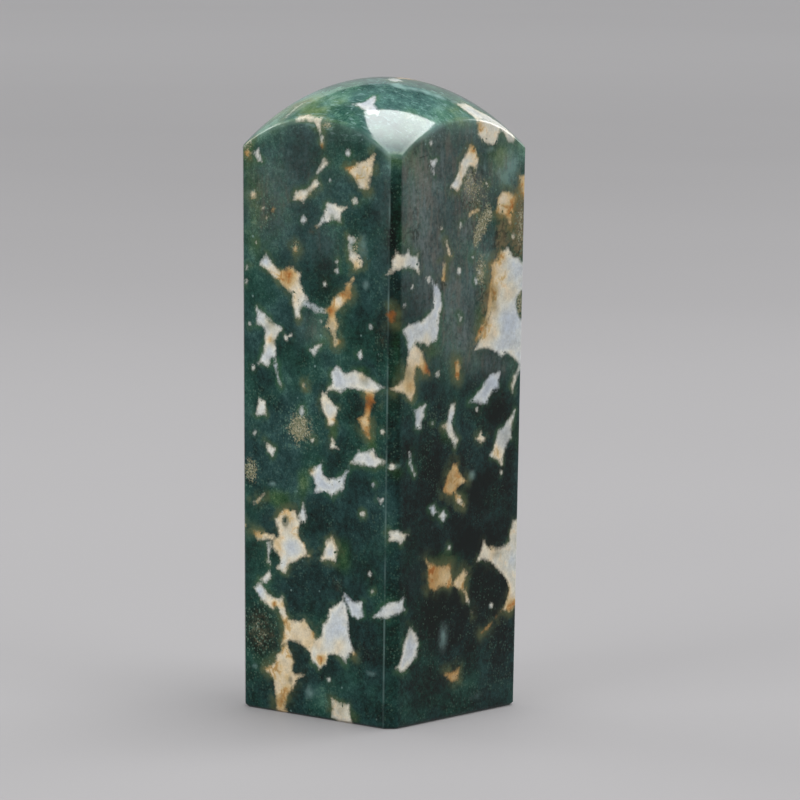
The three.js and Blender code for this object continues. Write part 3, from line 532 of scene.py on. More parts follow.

# Soft spots of greyish and brown veils over the ground. The greyish ones, high on the faces, are partly
# grey in the stone and partly a painted reflection: the pale haze that the polished faces mirror there.
FRONT_GREYS = [
    (-7.4, 62.0, 4.0, 5.4, 0.3), (2.0, 57.0, 3.6, 3.0, 0.15), (0.0, 47.0, 2.4, 2.0, 0.25),
    (-1.0, 66.0, 6.0, 5.0, 0.15),
]
RIGHT_GREYS = [
    (-8.0, 63.0, 4.4, 8.0, 0.75), (-2.0, 68.0, 5.0, 4.0, 0.22), (1.6, 62.6, 3.4, 3.6, 0.5),
    (0.9, 64.6, 1.2, 1.6, 0.95), (-2.0, 50.6, 4.6, 6.0, 0.55), (1.2, 45.0, 3.8, 2.6, 0.45),
    (6.6, 42.0, 3.6, 1.6, 0.3), (4.0, 54.0, 2.4, 3.6, 0.4), (-8.4, 51.4, 3.4, 2.6, 0.1),
    (8.0, 65.8, 3.0, 3.0, 0.4), (0.4, 58.4, 2.6, 2.0, 0.35), (-6.4, 56.6, 3.0, 2.0, 0.25),
    (4.6, 70.0, 4.0, 1.4, 0.3),
]

FRONT_BROWNS = [
    (-8.4, 9.6, 3.0, 3.4, 0.5), (-10.6, 66.4, 1.2, 3.0, 0.4), (10.3, 46.8, 1.2, 2.0, 0.35),
    (-7.4, 60.4, 1.4, 1.2, 0.3), (-0.6, 58.4, 0.8, 0.5, 0.5), (7.4, 38.4, 0.8, 1.6, 0.4),
    (-8.6, 68.4, 0.9, 0.7, 0.3), (3.8, 16.6, 1.3, 1.3, 0.3), (6.6, 8.6, 0.5, 0.5, 0.4),
    (6.6, 0.8, 1.0, 0.8, 0.4), (12.0, 47.6, 0.8, 1.4, 0.4), (0.6, 11.0, 0.6, 0.9, 0.4),
]
RIGHT_BROWNS = [
    (10.6, 58.8, 1.5, 4.4, 2.4), (7.3, 58.0, 1.2, 2.6, 1.5), (4.0, 59.4, 1.0, 1.6, 0.7),
    (5.0, 52.6, 0.9, 3.0, 0.7), (4.4, 49.2, 1.0, 2.2, 1.3), (3.0, 50.6, 1.6, 1.0, 0.35),
    (1.4, 61.4, 1.8, 0.8, 0.45), (9.4, 61.2, 0.8, 1.0, 0.5), (4.2, 63.4, 1.0, 1.0, 0.45),
    (-3.6, 52.8, 0.7, 1.6, 0.5), (10.9, 49.4, 0.7, 2.0, 0.9), (6.8, 56.4, 1.2, 1.4, 0.6),
    (-8.8, 68.4, 2.0, 2.4, 0.25), (0.6, 65.0, 1.4, 1.4, 0.3), (5.6, 34.0, 1.2, 0.8, 0.35),
    (7.4, 38.2, 1.6, 1.0, 0.25), (-6.0, 45.2, 1.0, 0.6, 0.5), (9.8, 13.8, 1.2, 2.2, 0.35),
    (-6.6, 18.6, 0.8, 1.6, 0.35), (-9.6, 58.6, 2.0, 0.8, 0.3),
]

# Soft spots on the dome
DOME_TONES = [
    (0.5, -8.4, 3.0, 2.0, 0.9), (-5.4, -8.0, 4.0, 3.2, 1.0), (2.6, -11.6, 2.2, 1.2, -0.5),
    (11.2, -2.0, 1.0, 3.0, 0.3), (9.2, -1.4, 1.6, 1.6, 0.6), (-1.3, 1.5, 6.0, 6.0, -0.8),
    (4.6, 4.8, 2.6, 1.6, -1.3), (7.6, 6.8, 2.2, 1.8, -1.5), (5.4, -4.0, 3.0, 2.2, 0.1),
    (8.4, -4.6, 3.0, 3.0, -0.2), (-1.0, -12.4, 3.0, 0.8, 0.6), (-9.6, -3.0, 3.0, 4.0, 0.1),
    (-6.0, -3.0, 2.6, 2.6, -0.5),
]
DOME_HAZES = [
    (2.8, -4.4, 1.2, 0.8, 0.55), (4.6, -3.0, 1.3, 0.7, 1.2), (6.2, -2.0, 0.8, 0.7, 0.9),
    (7.4, -1.1, 0.8, 0.7, 1.0), (8.6, -0.1, 0.8, 0.8, 1.0), (9.9, 1.3, 0.7, 0.9, 0.8),
    (-2.6, -8.4, 1.1, 0.5, 0.5), (-0.6, -9.2, 0.5, 0.5, 0.6), (-7.4, -7.4, 1.4, 0.6, 0.4),
    (11.4, -4.8, 0.9, 0.8, 0.45), (3.0, -1.4, 2.0, 1.2, 0.5),
]
DOME_THINNED = [
    (10.1, -6.9, 1.6, 1.3, 1.1), (2.4, -1.2, 1.5, 1.2, 0.5), (-5.2, -10.2, 1.2, 1.6, 0.45),
    (-1.0, -12.2, 2.4, 0.6, 0.1), (11.2, 3.6, 1.6, 3.4, 0.25),
]
DOME_OLIVES = [
    (-5.4, -9.4, 4.0, 2.2, 0.8), (-9.6, -6.0, 2.4, 3.0, 0.7), (-1.0, -11.6, 2.6, 1.0, 0.8),
    (1.4, -9.4, 1.6, 1.0, 0.5), (11.4, -0.4, 1.2, 2.0, 0.4),
]

HOLLOW = 0.06  # how far a side bows in, as a share of its length
SIDE_PIECES = 4  # straight pieces that a bowed side is drawn with
PATCH_GROWTH = 0.1  # mm by which every patch is wider than its outline
FIGURE_REACH = 2.0  # mm from a patch to where it has no more say
THINNING = 0.5  # mm off the light matter where it is thinned by 1
BLEND_SHARPNESS = 4.0  # per mm, how quickly one patch's colour gives way to the next one's


def bowed(tips):
    """An outline whose sides bow in between its tips."""
    tips = np.array(tips, float)
    sides = np.roll(tips, -1, axis=0) - tips
    area = np.sum(tips[:, 0] * np.roll(tips[:, 1], -1) - np.roll(tips[:, 0], -1) * tips[:, 1])
    inward = np.column_stack([-sides[:, 1], sides[:, 0]]) * np.sign(area)
    outline = []
    for tip, side, bow in zip(tips, sides, inward * HOLLOW):
        for share in np.arange(SIDE_PIECES) / SIDE_PIECES:
            outline.append(tip + side * share + bow * 4 * share * (1 - share))
    return np.array(outline)


def depth_inside(points, outline):
    """How deep each point lies inside a closed outline. Outside it is negative."""
    sides = np.roll(outline, -1, axis=0) - outline
    from_start = points[:, None] - outline[None]
    share = np.clip((from_start * sides).sum(-1) / (sides**2).sum(-1), 0, 1)
    distance = np.linalg.norm(from_start - share[..., None] * sides, axis=-1).min(axis=1)
    starts_below = from_start[..., 1] > 0
    ends_below = from_start[..., 1] - sides[:, 1] > 0
    rise = np.where(sides[:, 1] == 0, TINY, sides[:, 1])
    crossing_right = from_start[..., 0] < from_start[..., 1] * sides[:, 0] / rise
    crossings = ((starts_below != ends_below) & crossing_right).sum(axis=1)
    return np.where(crossings % 2 == 1, distance, -distance)


class Figure:
    """What the stone's material reads at every vertex."""

    def __init__(self, count):
        self.light = np.full(count, -FIGURE_REACH)  # mm inside a light patch, negative outside
        self.warmth_sum = np.zeros(count)
        self.weight_sum = np.full(count, TINY)
        self.stains = []
        self.thinned = np.zeros(count)  # how thin and see-through the light matter is
        self.cell = np.full(count, -FIGURE_REACH)  # mm inside a round dark cell, negative outside
        self.haze = np.zeros(count)
        self.grain = np.zeros(count)
        # Lighter and darker parts of the stone, and also painted light and shade: a lighter dome, a glow
        # under the arched edges, shaded chamfers
        self.tone = np.zeros(count)
        self.olive = np.zeros(count)
        self.grey = np.zeros(count)
        self.brown = np.zeros(count)
        self.edge = np.zeros(count)

    def add_depth(self, chosen, depth, warmth):
        self.light[chosen] = np.maximum(self.light[chosen], depth)
        weight = np.exp(BLEND_SHARPNESS * depth)
        self.warmth_sum[chosen] += weight * warmth
        self.weight_sum[chosen] += weight

    def add_patches(self, patches, points, shown):
        for warmth, tips in patches:
            outline = bowed(tips)
            lowest, highest = outline.min(0) - FIGURE_REACH, outline.max(0) + FIGURE_REACH
            near = ((points > lowest) & (points < highest)).all(1)
            chosen = np.flatnonzero(near & (shown > 0))
            depth = depth_inside(points[chosen], outline) + PATCH_GROWTH - unshown(shown[chosen])
            self.add_depth(chosen, np.clip(depth, -FIGURE_REACH, FIGURE_REACH), warmth)

    def add_specks(self, specks, points, shown):
        for across, height, radius, warmth in specks:
            distance = np.linalg.norm(points - (across, height), axis=1)
            chosen = np.flatnonzero((distance < radius + FIGURE_REACH) & (shown > 0))
            self.add_depth(chosen, radius - distance[chosen] - unshown(shown[chosen]), warmth)

    def add_cells(self, cells, points, shown):
        for across, height, radius_across, radius_up in cells:
            share = np.linalg.norm((points - (across, height)) / (radius_across, radius_up), axis=1)
            depth = (1 - share) * min(radius_across, radius_up) - unshown(shown)
            self.cell = np.maximum(self.cell, depth)

    def add_stains(self, stains, points, shown):
        for across, height, radius, warmth in stains:
            self.stains.append((shown * spot(points, across, height, radius, radius), warmth))

    def warmth(self):
        warmth = self.warmth_sum / self.weight_sum
        for share, stain in self.stains:
            warmth = warmth + (stain - warmth) * share
        return warmth


def spot(points, across, height, radius_across, radius_up):
    """1 in the middle of a soft round spot, falling off to 0."""
    offset = (points - (across, height)) / (radius_across, radius_up)
    return np.exp(-(offset**2).sum(axis=1))


def add_spots(values, spots, points, shown):
    for across, height, radius_across, radius_up, strength in spots:
        values += shown * strength * spot(points, across, height, radius_across, radius_up)


def unshown(shown):
    """mm by which everything is shallower where it is shown in part only."""
    return (1 - shown) * FIGURE_REACH


# The camera's azimuth, because the stone's seen and unseen parts depend on the photograph's view
VIEW_AZIMUTH = radians(40.013)
TO_RIGHT = np.array([cos(VIEW_AZIMUTH), sin(VIEW_AZIMUTH), 0.0])
TO_BACK = np.array([-sin(VIEW_AZIMUTH), cos(VIEW_AZIMUTH), 0.0])
DOME_HIDDEN_FROM = 3.0  # mm behind the crown
DOME_FADE = 2.5  # mm over which the turned figure sets in there
HIDDEN_FROM = 0.8  # mm past the flat of the last side that the photograph shows
SIDE_FADE = 1.4
TURNED_HEIGHT = 66.5  # mm above the foot, what is on the foot when the figure is turned over
BEND = 1.2  # mm by which the turned figure sways, so that it differs in shape
BEND_LENGTH = 4.6
# Painted light: the dome's ground is made lighter all over, for the light from above that shines into it
DOME_PAINTED_LIGHT = 0.95
RIM_GLOW = 0.75  # painted light on the faces, just below the arched edges, as if the lit dome shone through
RIM_GLOW_OLIVE = 0.35
RIM_GLOW_DEPTH = 1.1  # mm
# The arched edges' share of the rougher polish and of the painted highlight line
ARCH_EDGE = 0.9
# Painted shade on the chamfers: darker and more olive above a height
CHAMFER_SHADE = -0.9
CHAMFER_SHADE_OLIVE = 0.25
CHAMFER_SHADE_FROM = 20.0  # mm, height from which the painted shade makes the chamfers darker than the faces
CHAMFER_SHADE_AT = 42.0


def on_every_ring(values, rings):
    """The values of one ring's points for all rings, and 0 for the foot's middle and the crown."""
    return np.append(np.tile(values, rings), [0.0, 0.0])


def add_edges(figure, rings, height, zone):
    """Painted light and shade: a painted glow under the arched edges, painted shade on the chamfers, and
    a painted highlight line along each chamfer and the arched edges, whose polish is also rougher.
    """
    level = len(rings.points)
    around = (zone == COLUMN) | (zone == EDGE)
    # Painted light: a lighter, more olive band just below the arched edges
    below_rim = on_every_ring(rings.rim_height, level) - height
    rim = around * np.exp(-((np.maximum(below_rim, 0) / RIM_GLOW_DEPTH) ** 2))
    figure.tone += RIM_GLOW * rim
    figure.olive += RIM_GLOW_OLIVE * rim
    # Painted shade: the chamfers grow darker between two heights, and lose their grey and brown
    dark = np.clip((height - CHAMFER_SHADE_FROM) / (CHAMFER_SHADE_AT - CHAMFER_SHADE_FROM), 0, 1)
    shaded_chamfer = around * dark * on_every_ring(ON_CHAMFER, level)
    figure.tone += CHAMFER_SHADE * shaded_chamfer
    figure.olive += CHAMFER_SHADE_OLIVE * shaded_chamfer
    figure.grey *= 1 - shaded_chamfer
    figure.brown *= 1 - shaded_chamfer
    # The edge share: a rougher polish, as on worn edges, and a painted highlight line along the first
    # ease of each chamfer
    figure.edge = around * on_every_ring(ON_FIRST_EASE, level)
    figure.edge = np.maximum(figure.edge, ARCH_EDGE * (zone == EDGE))


def turned_over(across, height):
    """The place on the front and right sides whose figure the left and back sides have."""
    side = side_length(np.minimum(height, SHOULDER_HEIGHT))
    round_the_back = np.where(across < -side / 2, across + 4 * side, across)
    turned_across = 3 * side - round_the_back
    turned_height = TURNED_HEIGHT - height
    sway_across = BEND * np.sin(turned_height / BEND_LENGTH)
    sway_up = BEND * np.sin(turned_across / BEND_LENGTH)
    return turned_across + sway_across, turned_height + sway_up


def add_sides(figure, across, height, side, shown):
    """All that the front and right sides show, at the given places on them."""
    front_place = np.column_stack([across, height])
    right_place = np.column_stack([across - side, height])
    for place, patches, specks, cells, stains in (
        (front_place, FRONT_PATCHES, FRONT_SPECKS, FRONT_CELLS, FRONT_STAINS),
        (right_place, RIGHT_PATCHES, RIGHT_SPECKS, RIGHT_CELLS, RIGHT_STAINS),
    ):
        figure.add_patches(patches, place, shown)
        figure.add_specks(specks, place, shown)
        figure.add_cells(cells, place, shown)
        figure.add_stains(stains, place, shown)
    for values, front_spots, right_spots in (
        (figure.haze, FRONT_HAZES, RIGHT_HAZES),
        (figure.grain, FRONT_ORBS, RIGHT_ORBS),
        (figure.tone, FRONT_TONES, RIGHT_TONES),
        (figure.olive, FRONT_OLIVES, RIGHT_OLIVES),
        (figure.grey, FRONT_GREYS, RIGHT_GREYS),
        (figure.brown, FRONT_BROWNS, RIGHT_BROWNS),
        (figure.thinned, FRONT_THINNED, RIGHT_THINNED),
    ):
        add_spots(values, front_spots, front_place, shown)
        add_spots(values, right_spots, right_place, shown)


def add_plan(figure, place, shown):
    """All that the dome shows, at the given places on it seen from above."""
    figure.add_patches(DOME_PATCHES, place, shown)
    for values, spots in (
        (figure.tone, DOME_TONES),
        (figure.olive, DOME_OLIVES),
        (figure.haze, DOME_HAZES),
        (figure.thinned, DOME_THINNED),
    ):
        add_spots(values, spots, place, shown)


def stone_figure(rings, points, across, height, zone):
    figure = Figure(len(points))
    around = ((zone == COLUMN) | (zone == EDGE)).astype(float)
    side = side_length(np.minimum(height, SHOULDER_HEIGHT))
    add_sides(figure, across, height, side, around)
    corner = flat_sizes(0.0)[2] + HIDDEN_FROM
    past = np.maximum(-corner - across, across - side - corner)
    hidden = around * np.clip(past / SIDE_FADE, 0, 1)
    add_sides(figure, *turned_over(across, height), side, hidden)

    plan_place = points[:, :2]
    on_dome = ((zone == EDGE) | (zone == DOME)).astype(float)
    add_plan(figure, plan_place, on_dome)
    behind = np.clip((points @ TO_BACK - DOME_HIDDEN_FROM) / DOME_FADE, 0, 1)
    add_plan(figure, -plan_place, on_dome * behind)
    # Painted light: the dome's ground is lifted lighter all over
    figure.tone += DOME_PAINTED_LIGHT * (zone == DOME)
    figure.add_patches(FOOT_PATCHES, plan_place, (zone == FOOT).astype(float))
    add_edges(figure, rings, height, zone)
    return figure


# The mesh of the stone, with the sheet that its surface is laid out on

SHEET = 101.0  # mm, side of the square that the surface is laid out on
SHEET_MARGIN = 1.0
PLAN_REACH = 13.2  # mm kept for the dome and the foot on each side of their middles
PLAN_ROW = SHEET - PLAN_REACH
DOME_PLACE = 14.0  # across the sheet
FOOT_PLACE = 42.0


def stone_mesh(rings):
    """Quads between the rings, and fans at the foot and crown, with each corner's place on the sheet."""
    points = np.concatenate(rings.points + [[(0, 0, 0)], [(0, 0, CROWN_HEIGHT)]])
    foot_centre, crown = len(points) - 2, len(points) - 1
    this_column = np.arange(COLUMNS)
    next_column = (this_column + 1) % COLUMNS
    faces = []
    corners = []
    first_ring_place = plan_place_on_sheet(rings.points[0], FOOT)
    middle = np.tile(plan_place_on_sheet(np.zeros((1, 3)), FOOT), (COLUMNS, 1))
    faces += np.column_stack([np.full(COLUMNS, foot_centre), next_column, this_column]).tolist()
    corners.append(np.stack([middle, first_ring_place[next_column], first_ring_place], 1).reshape(-1, 2))
    for lower in range(len(rings.points) - 1):
        low, high = lower * COLUMNS, (lower + 1) * COLUMNS
        faces += np.column_stack(
            [low + this_column, low + next_column, high + next_column, high + this_column]
        ).tolist()
        corners.append(band_on_sheet(rings, lower, next_column))
    last_ring_place = plan_place_on_sheet(rings.points[-1], DOME)
    middle = np.tile(plan_place_on_sheet(np.zeros((1, 3)), DOME), (COLUMNS, 1))
    last = (len(rings.points) - 1) * COLUMNS
    faces += np.column_stack([last + this_column, last + next_column, np.full(COLUMNS, crown)]).tolist()
    corners.append(np.stack([last_ring_place, last_ring_place[next_column], middle], 1).reshape(-1, 2))
    return points, faces, np.concatenate(corners)


def plan_place_on_sheet(points, zone):
    """The dome is laid out as seen from above, and the foot as seen from below."""
    if zone == DOME:
        return np.column_stack([DOME_PLACE + points[:, 0], PLAN_ROW + points[:, 1]])
    return np.column_stack([FOOT_PLACE - points[:, 0], PLAN_ROW + points[:, 1]])


def band_on_sheet(rings, lower, next_column):
    """The sheet's places of the quads between one ring and the next one up, corner by corner."""
    if rings.zone[lower + 1] in (DOME, FOOT):
        low = plan_place_on_sheet(rings.points[lower], rings.zone[lower + 1])
        high = plan_place_on_sheet(rings.points[lower + 1], rings.zone[lower + 1])
        return np.stack([low, low[next_column], high[next_column], high], 1).reshape(-1, 2)
    sheet_left = SHEET_MARGIN - rings.across[-1].min()
    quads = []
    for ring in (lower, lower + 1):
        left = rings.across[ring] + sheet_left
        right = left[next_column]
        right = right + np.where(right < left, 4 * side_length(0.0), 0)
        up = rings.height[ring] + SHEET_MARGIN
        quads.append((np.column_stack([left, up]), np.column_stack([right, up[next_column]])))
    (low_left, low_right), (high_left, high_right) = quads
    return np.stack([low_left, low_right, high_right, high_left], 1).reshape(-1, 2)


def placed(name, data):
    """A new object in the scene."""
    made = bpy.data.objects.new(name, data)
    bpy.context.scene.collection.objects.link(made)
    return made


def build_stone():
    rings = stone_rings()
    points, faces, sheet = stone_mesh(rings)
    across = np.concatenate(rings.across + [[0.0, 0.0]])
    height = np.concatenate(rings.height + [[0.0, CROWN_HEIGHT]])
    zone = np.concatenate([np.repeat(rings.zone, COLUMNS), [FOOT, DOME]])
    figure = stone_figure(rings, points, across, height, zone)

    mesh = bpy.data.meshes.new("stone")
    mesh.from_pydata((points * MM).tolist(), [], faces)
    mesh.shade_smooth()
    mesh.uv_layers.new(name="OFBake").data.foreach_set("uv", (sheet / SHEET).ravel())
    for name, values in (
        ("light", figure.light - THINNING * figure.thinned),
        ("thinned", figure.thinned),
        ("warmth", figure.warmth()),
        ("haze", figure.haze),
        ("grain", figure.grain),
        ("tone", figure.tone),
        ("olive", figure.olive),
        ("grey", figure.grey),
        ("brown", figure.brown),
        ("edge", figure.edge),
        ("cell", np.clip(figure.cell, -FIGURE_REACH, FIGURE_REACH)),
    ):
        mesh.attributes.new(name, "FLOAT", "POINT").data.foreach_set("value", values.astype(np.float32))
    mesh.update()
    return placed("stone", mesh)


# Materials

LINE_SWAY = 1.6  # how far lines are pushed about, as a share of their cells' size
MIX_FIRST, MIX_SECOND, MIX_RESULT = 6, 7, 2  # the colour sockets of a mix node


class Graph:
    """Short ways to make nodes. Every input is a number, a colour or another node's output."""

    def __init__(self, tree):
        self.tree = tree
        tree.nodes.clear()

    def node(self, kind, inputs, **settings):
        made = self.tree.nodes.new(kind)
        for name, value in settings.items():
            setattr(made, name, value)
        for name, value in inputs.items():
            if isinstance(value, bpy.types.NodeSocket):
                self.tree.links.new(value, made.inputs[name])
            else:
                made.inputs[name].default_value = value
        return made

    def attribute(self, name):
        return self.node("ShaderNodeAttribute", {}, attribute_name=name).outputs["Fac"]

    def math(self, operation, first, second=0.0):
        return self.node("ShaderNodeMath", {0: first, 1: second}, operation=operation).outputs[0]

    def add(self, first, second):
        return self.math("ADD", first, second)

    def times(self, first, second):
        return self.math("MULTIPLY", first, second)

    def ramp(self, value, low, high, at_low=0.0, at_high=1.0):
        """Smoothly from one value to another while the input goes from low to high."""
        inputs = {"Value": value, "From Min": low, "From Max": high, "To Min": at_low, "To Max": at_high}
        return self.node("ShaderNodeMapRange", inputs, interpolation_type="SMOOTHSTEP").outputs[0]

    def colours(self, value, stops):
        made = self.node("ShaderNodeValToRGB", {"Fac": value})
        elements = made.color_ramp.elements
        for place, _ in stops[len(elements):]:
            elements.new(place)
        for element, (place, colour) in zip(elements, stops):
            element.position = place
            element.color = (*colour, 1)
        return made.outputs["Color"]

    def mix(self, share, first, second):
        made = self.node("ShaderNodeMix", {0: share}, data_type="RGBA")
        for socket, value in ((made.inputs[MIX_FIRST], first), (made.inputs[MIX_SECOND], second)):
            if isinstance(value, bpy.types.NodeSocket):
                self.tree.links.new(value, socket)
            else:
                socket.default_value = (*value, 1)
        return made.outputs[MIX_RESULT]

    def noise(self, place, size, detail=2.0, roughness=0.5):
        """Cloudy noise about 0, whose clouds are that many mm across."""
        inputs = {"Vector": place, "Scale": 1 / size, "Detail": detail, "Roughness": roughness}
        return self.add(self.node("ShaderNodeTexNoise", inputs).outputs[0], -0.5)

    def cells(self, place, size):
        return self.node("ShaderNodeTexVoronoi", {"Vector": place, "Scale": 1 / size})

    def scaled(self, vector, factor):
        inputs = {0: vector, "Scale": factor}
        return self.node("ShaderNodeVectorMath", inputs, operation="SCALE").outputs[0]

    def stretched(self, vector, factors):
        inputs = {0: vector, 1: factors}
        return self.node("ShaderNodeVectorMath", inputs, operation="MULTIPLY").outputs[0]

    def height(self, place):
        return self.node("ShaderNodeSeparateXYZ", {"Vector": place}).outputs["Z"]

    def random(self, cells):
        """Three random numbers for each cell."""
        return self.node("ShaderNodeSeparateColor", {"Color": cells.outputs["Color"]}).outputs

    def lines(self, place, size, width):
        """1 on thin wavy lines between cells that are that many mm across."""
        waves = self.node("ShaderNodeTexNoise", {"Vector": place, "Scale": 1 / size, "Detail": 3.0})
        push = self.scaled(waves.outputs["Color"], size * LINE_SWAY)
        moved = self.node("ShaderNodeVectorMath", {0: place, 1: push}, operation="ADD")
        inputs = {"Vector": moved.outputs[0], "Scale": 1 / size}
        between = self.node("ShaderNodeTexVoronoi", inputs, feature="DISTANCE_TO_EDGE")
        return self.ramp(between.outputs["Distance"], 0.0, width / size, 1.0, 0.0)


def graph_of(owner):
    """The emptied graph of a material or a world."""
    owner.use_nodes = True
    return Graph(owner.node_tree)


LIGHT_MATTER = [
    (0.00, (0.515, 0.57, 0.63)),
    (0.10, (0.62, 0.65, 0.64)),
    (0.24, (0.70, 0.67, 0.56)),
    (0.36, (0.72, 0.62, 0.45)),
    (0.48, (0.65, 0.50, 0.28)),
    (0.62, (0.50, 0.31, 0.12)),
    (0.80, (0.37, 0.14, 0.03)),
    (1.00, (0.12, 0.04, 0.015)),
]
TEALS = [
    (0.00, (0.001, 0.005, 0.004)),
    (0.25, (0.005, 0.021, 0.019)),
    (0.42, (0.010, 0.040, 0.038)),
    (0.58, (0.018, 0.058, 0.055)),
    (0.72, (0.034, 0.090, 0.083)),
    (0.88, (0.060, 0.145, 0.128)),
    (1.00, (0.120, 0.240, 0.215)),
]
EMERALDS = [
    (0.00, (0.001, 0.005, 0.003)),
    (0.25, (0.003, 0.022, 0.015)),
    (0.42, (0.007, 0.043, 0.031)),
    (0.58, (0.014, 0.063, 0.047)),
    (0.72, (0.030, 0.097, 0.072)),
    (0.88, (0.062, 0.155, 0.112)),
    (1.00, (0.125, 0.250, 0.185)),
]
OLIVES = [
    (0.00, (0.001, 0.009, 0.002)),
    (0.40, (0.010, 0.050, 0.015)),
    (0.70, (0.045, 0.105, 0.036)),
    (1.00, (0.150, 0.220, 0.095)),
]
BROWN = (0.172, 0.132, 0.068)
GREY_GREEN = (0.37, 0.38, 0.35)
PALE_TEAL = (0.24, 0.38, 0.36)
MAUVE = (0.115, 0.092, 0.070)
BLUE_GREY = (0.085, 0.135, 0.145)
PALE_GREEN = (0.13, 0.24, 0.17)
PLUM = (0.022, 0.016, 0.018)
DARK_LINE = (0.012, 0.014, 0.010)
GREEN_HALO = (0.030, 0.095, 0.040)
OLIVE_HALO = (0.092, 0.112, 0.048)
OCHRE_FRINGE = (0.260, 0.190, 0.065)
GRAINS = [
    (0.00, (0.115, 0.150, 0.090)),
    (0.35, (0.220, 0.215, 0.125)),
    (0.70, (0.345, 0.310, 0.185)),
    (1.00, (0.470, 0.460, 0.340)),
]

# Heights in mm between which the looks change
# Painted shade on the light matter of the dome, which the lamp above lights more
DOME_SHADE_HEIGHTS = 70.5, 73.0
# Painted reflection: the ground turns paler upwards, like the pale veil that polished faces mirror near
# their tops
PAINTED_VEIL_HEIGHTS = 15.0, 74.0
DASHED_HEIGHTS = 68.5, 71.0
GLOSSIER_HEIGHTS = 68.0, 71.0
SAWN_HEIGHTS = 0.0, 0.1

GROUND_LEVEL = 0.485  # along the ramps of greens
GRAIN_SIZE = 0.16  # mm
UPRIGHT = (1.0, 1.0, 0.25)  # draws noise out upwards
DRAWN_OUT = (0.3, 1.0, 1.0)  # draws noise out across the dome

# Roughness of the polished stone, and what is added to it
POLISHED = 0.075
POLISH_UNEVENNESS = 0.04
WORN = 0.10  # at grains and along the edges
SAWN = 0.30

STONE_IOR = 1.5
WAVINESS = 0.02  # mm
MATTER_RELIEF = 0.003  # mm that the light matter stands out
FACE_GLOSS = 0.18
DOME_GLOSS = 0.60


def ragged_depth(graph, place):
    """mm inside the light matter, with the fringes and holes of its edge."""
    ragged = graph.attribute("light")
    for size, detail, strength in ((1.8, 4.0, 0.80), (0.45, 4.0, 0.50)):
        ragged = graph.add(ragged, graph.times(graph.noise(place, size, detail, 0.65), strength))
    hole = graph.ramp(graph.noise(place, 0.8, 3.0, 0.6), 0.14, 0.24, 0.0, -0.7)
    return graph.add(ragged, hole)


def light_matter_colour(graph, place, ragged):
    """Cloudy, with a paler rim and fine warm veins, and with painted shade that darkens it on the dome,
    which the lamp above lights more.
    """
    warmth = graph.add(graph.attribute("warmth"), graph.times(graph.noise(place, 1.5, 4.0, 0.65), 0.30))
    rim_here = graph.ramp(graph.noise(place, 4.0), -0.12, 0.16, 0.1, 1.0)
    rim = graph.times(graph.ramp(ragged, 0.1, 0.9, 1.0, 0.0), rim_here)
    veins = graph.times(graph.lines(place, 1.5, 0.34), graph.ramp(graph.noise(place, 2.2), 0.0, 0.12))
    veins = graph.times(veins, graph.ramp(warmth, 0.12, 0.36, 0.1, 1.0))
    warmth = graph.add(warmth, graph.add(graph.times(rim, 0.12), graph.times(veins, 0.20)))
    # Painted shade: darker on the dome
    shade = graph.ramp(graph.height(place), *DOME_SHADE_HEIGHTS, 1.00, 0.80)
    shade = graph.add(shade, graph.times(rim, 0.14))
    for size, strength in ((1.1, 0.80), (0.26, 0.60)):
        shade = graph.add(shade, graph.times(graph.noise(place, size, 4.0, 0.65), strength))
    return graph.scaled(graph.colours(warmth, LIGHT_MATTER), shade), warmth


def cell_share(graph, place):
    """1 inside the round dark cells, with a soft and slightly ragged edge."""
    edge = graph.add(graph.attribute("cell"), graph.times(graph.noise(place, 1.0, 4.0, 0.6), 0.9))
    return graph.ramp(edge, -0.45, 0.75)


def ground_colour(graph, place, cell):
    """The green of the stone, mottled at several scales, in bluer, greener and more olive parts. Its
    lighter and darker parts include painted light and shade, and a painted reflection makes it paler
    upwards.
    """
    tone = graph.attribute("tone")
    # Painted reflection: paler upwards
    level = graph.add(GROUND_LEVEL, graph.ramp(graph.height(place), *PAINTED_VEIL_HEIGHTS, -0.05, 0.07))
    clear = graph.ramp(tone, 0.5, 1.1, 1.0, 0.45)
    for part, strength in (
        (tone, 0.25),
        (graph.noise(place, 6.5, 3.0, 0.5), 0.70),
        (graph.noise(place, 2.2, 4.0, 0.6), 0.80),
        (graph.times(clear, graph.noise(place, 0.5, 4.0, 0.75)), 1.00),
        (graph.times(clear, graph.noise(place, 0.17, 2.0)), 0.45),
        (cell, -0.12),
    ):
        level = graph.add(level, graph.times(part, strength))
    emerald = graph.ramp(graph.noise(place, 7.0, 3.0), -0.08, 0.16)
    colour = graph.mix(emerald, graph.colours(level, TEALS), graph.colours(level, EMERALDS))
    olive = graph.add(graph.attribute("olive"), graph.times(graph.noise(place, 5.0, 4.0, 0.6), 1.5))
    olive = graph.times(graph.ramp(olive, 0.10, 0.9, 0.0, 0.9), graph.ramp(cell, 0.0, 1.0, 1.0, 0.35))
    colour = graph.mix(olive, colour, graph.colours(level, OLIVES))
    plum = graph.times(graph.ramp(graph.noise(place, 3.2, 3.0), 0.08, 0.22, 0.0, 0.12), cell)
    return graph.mix(plum, colour, PLUM)


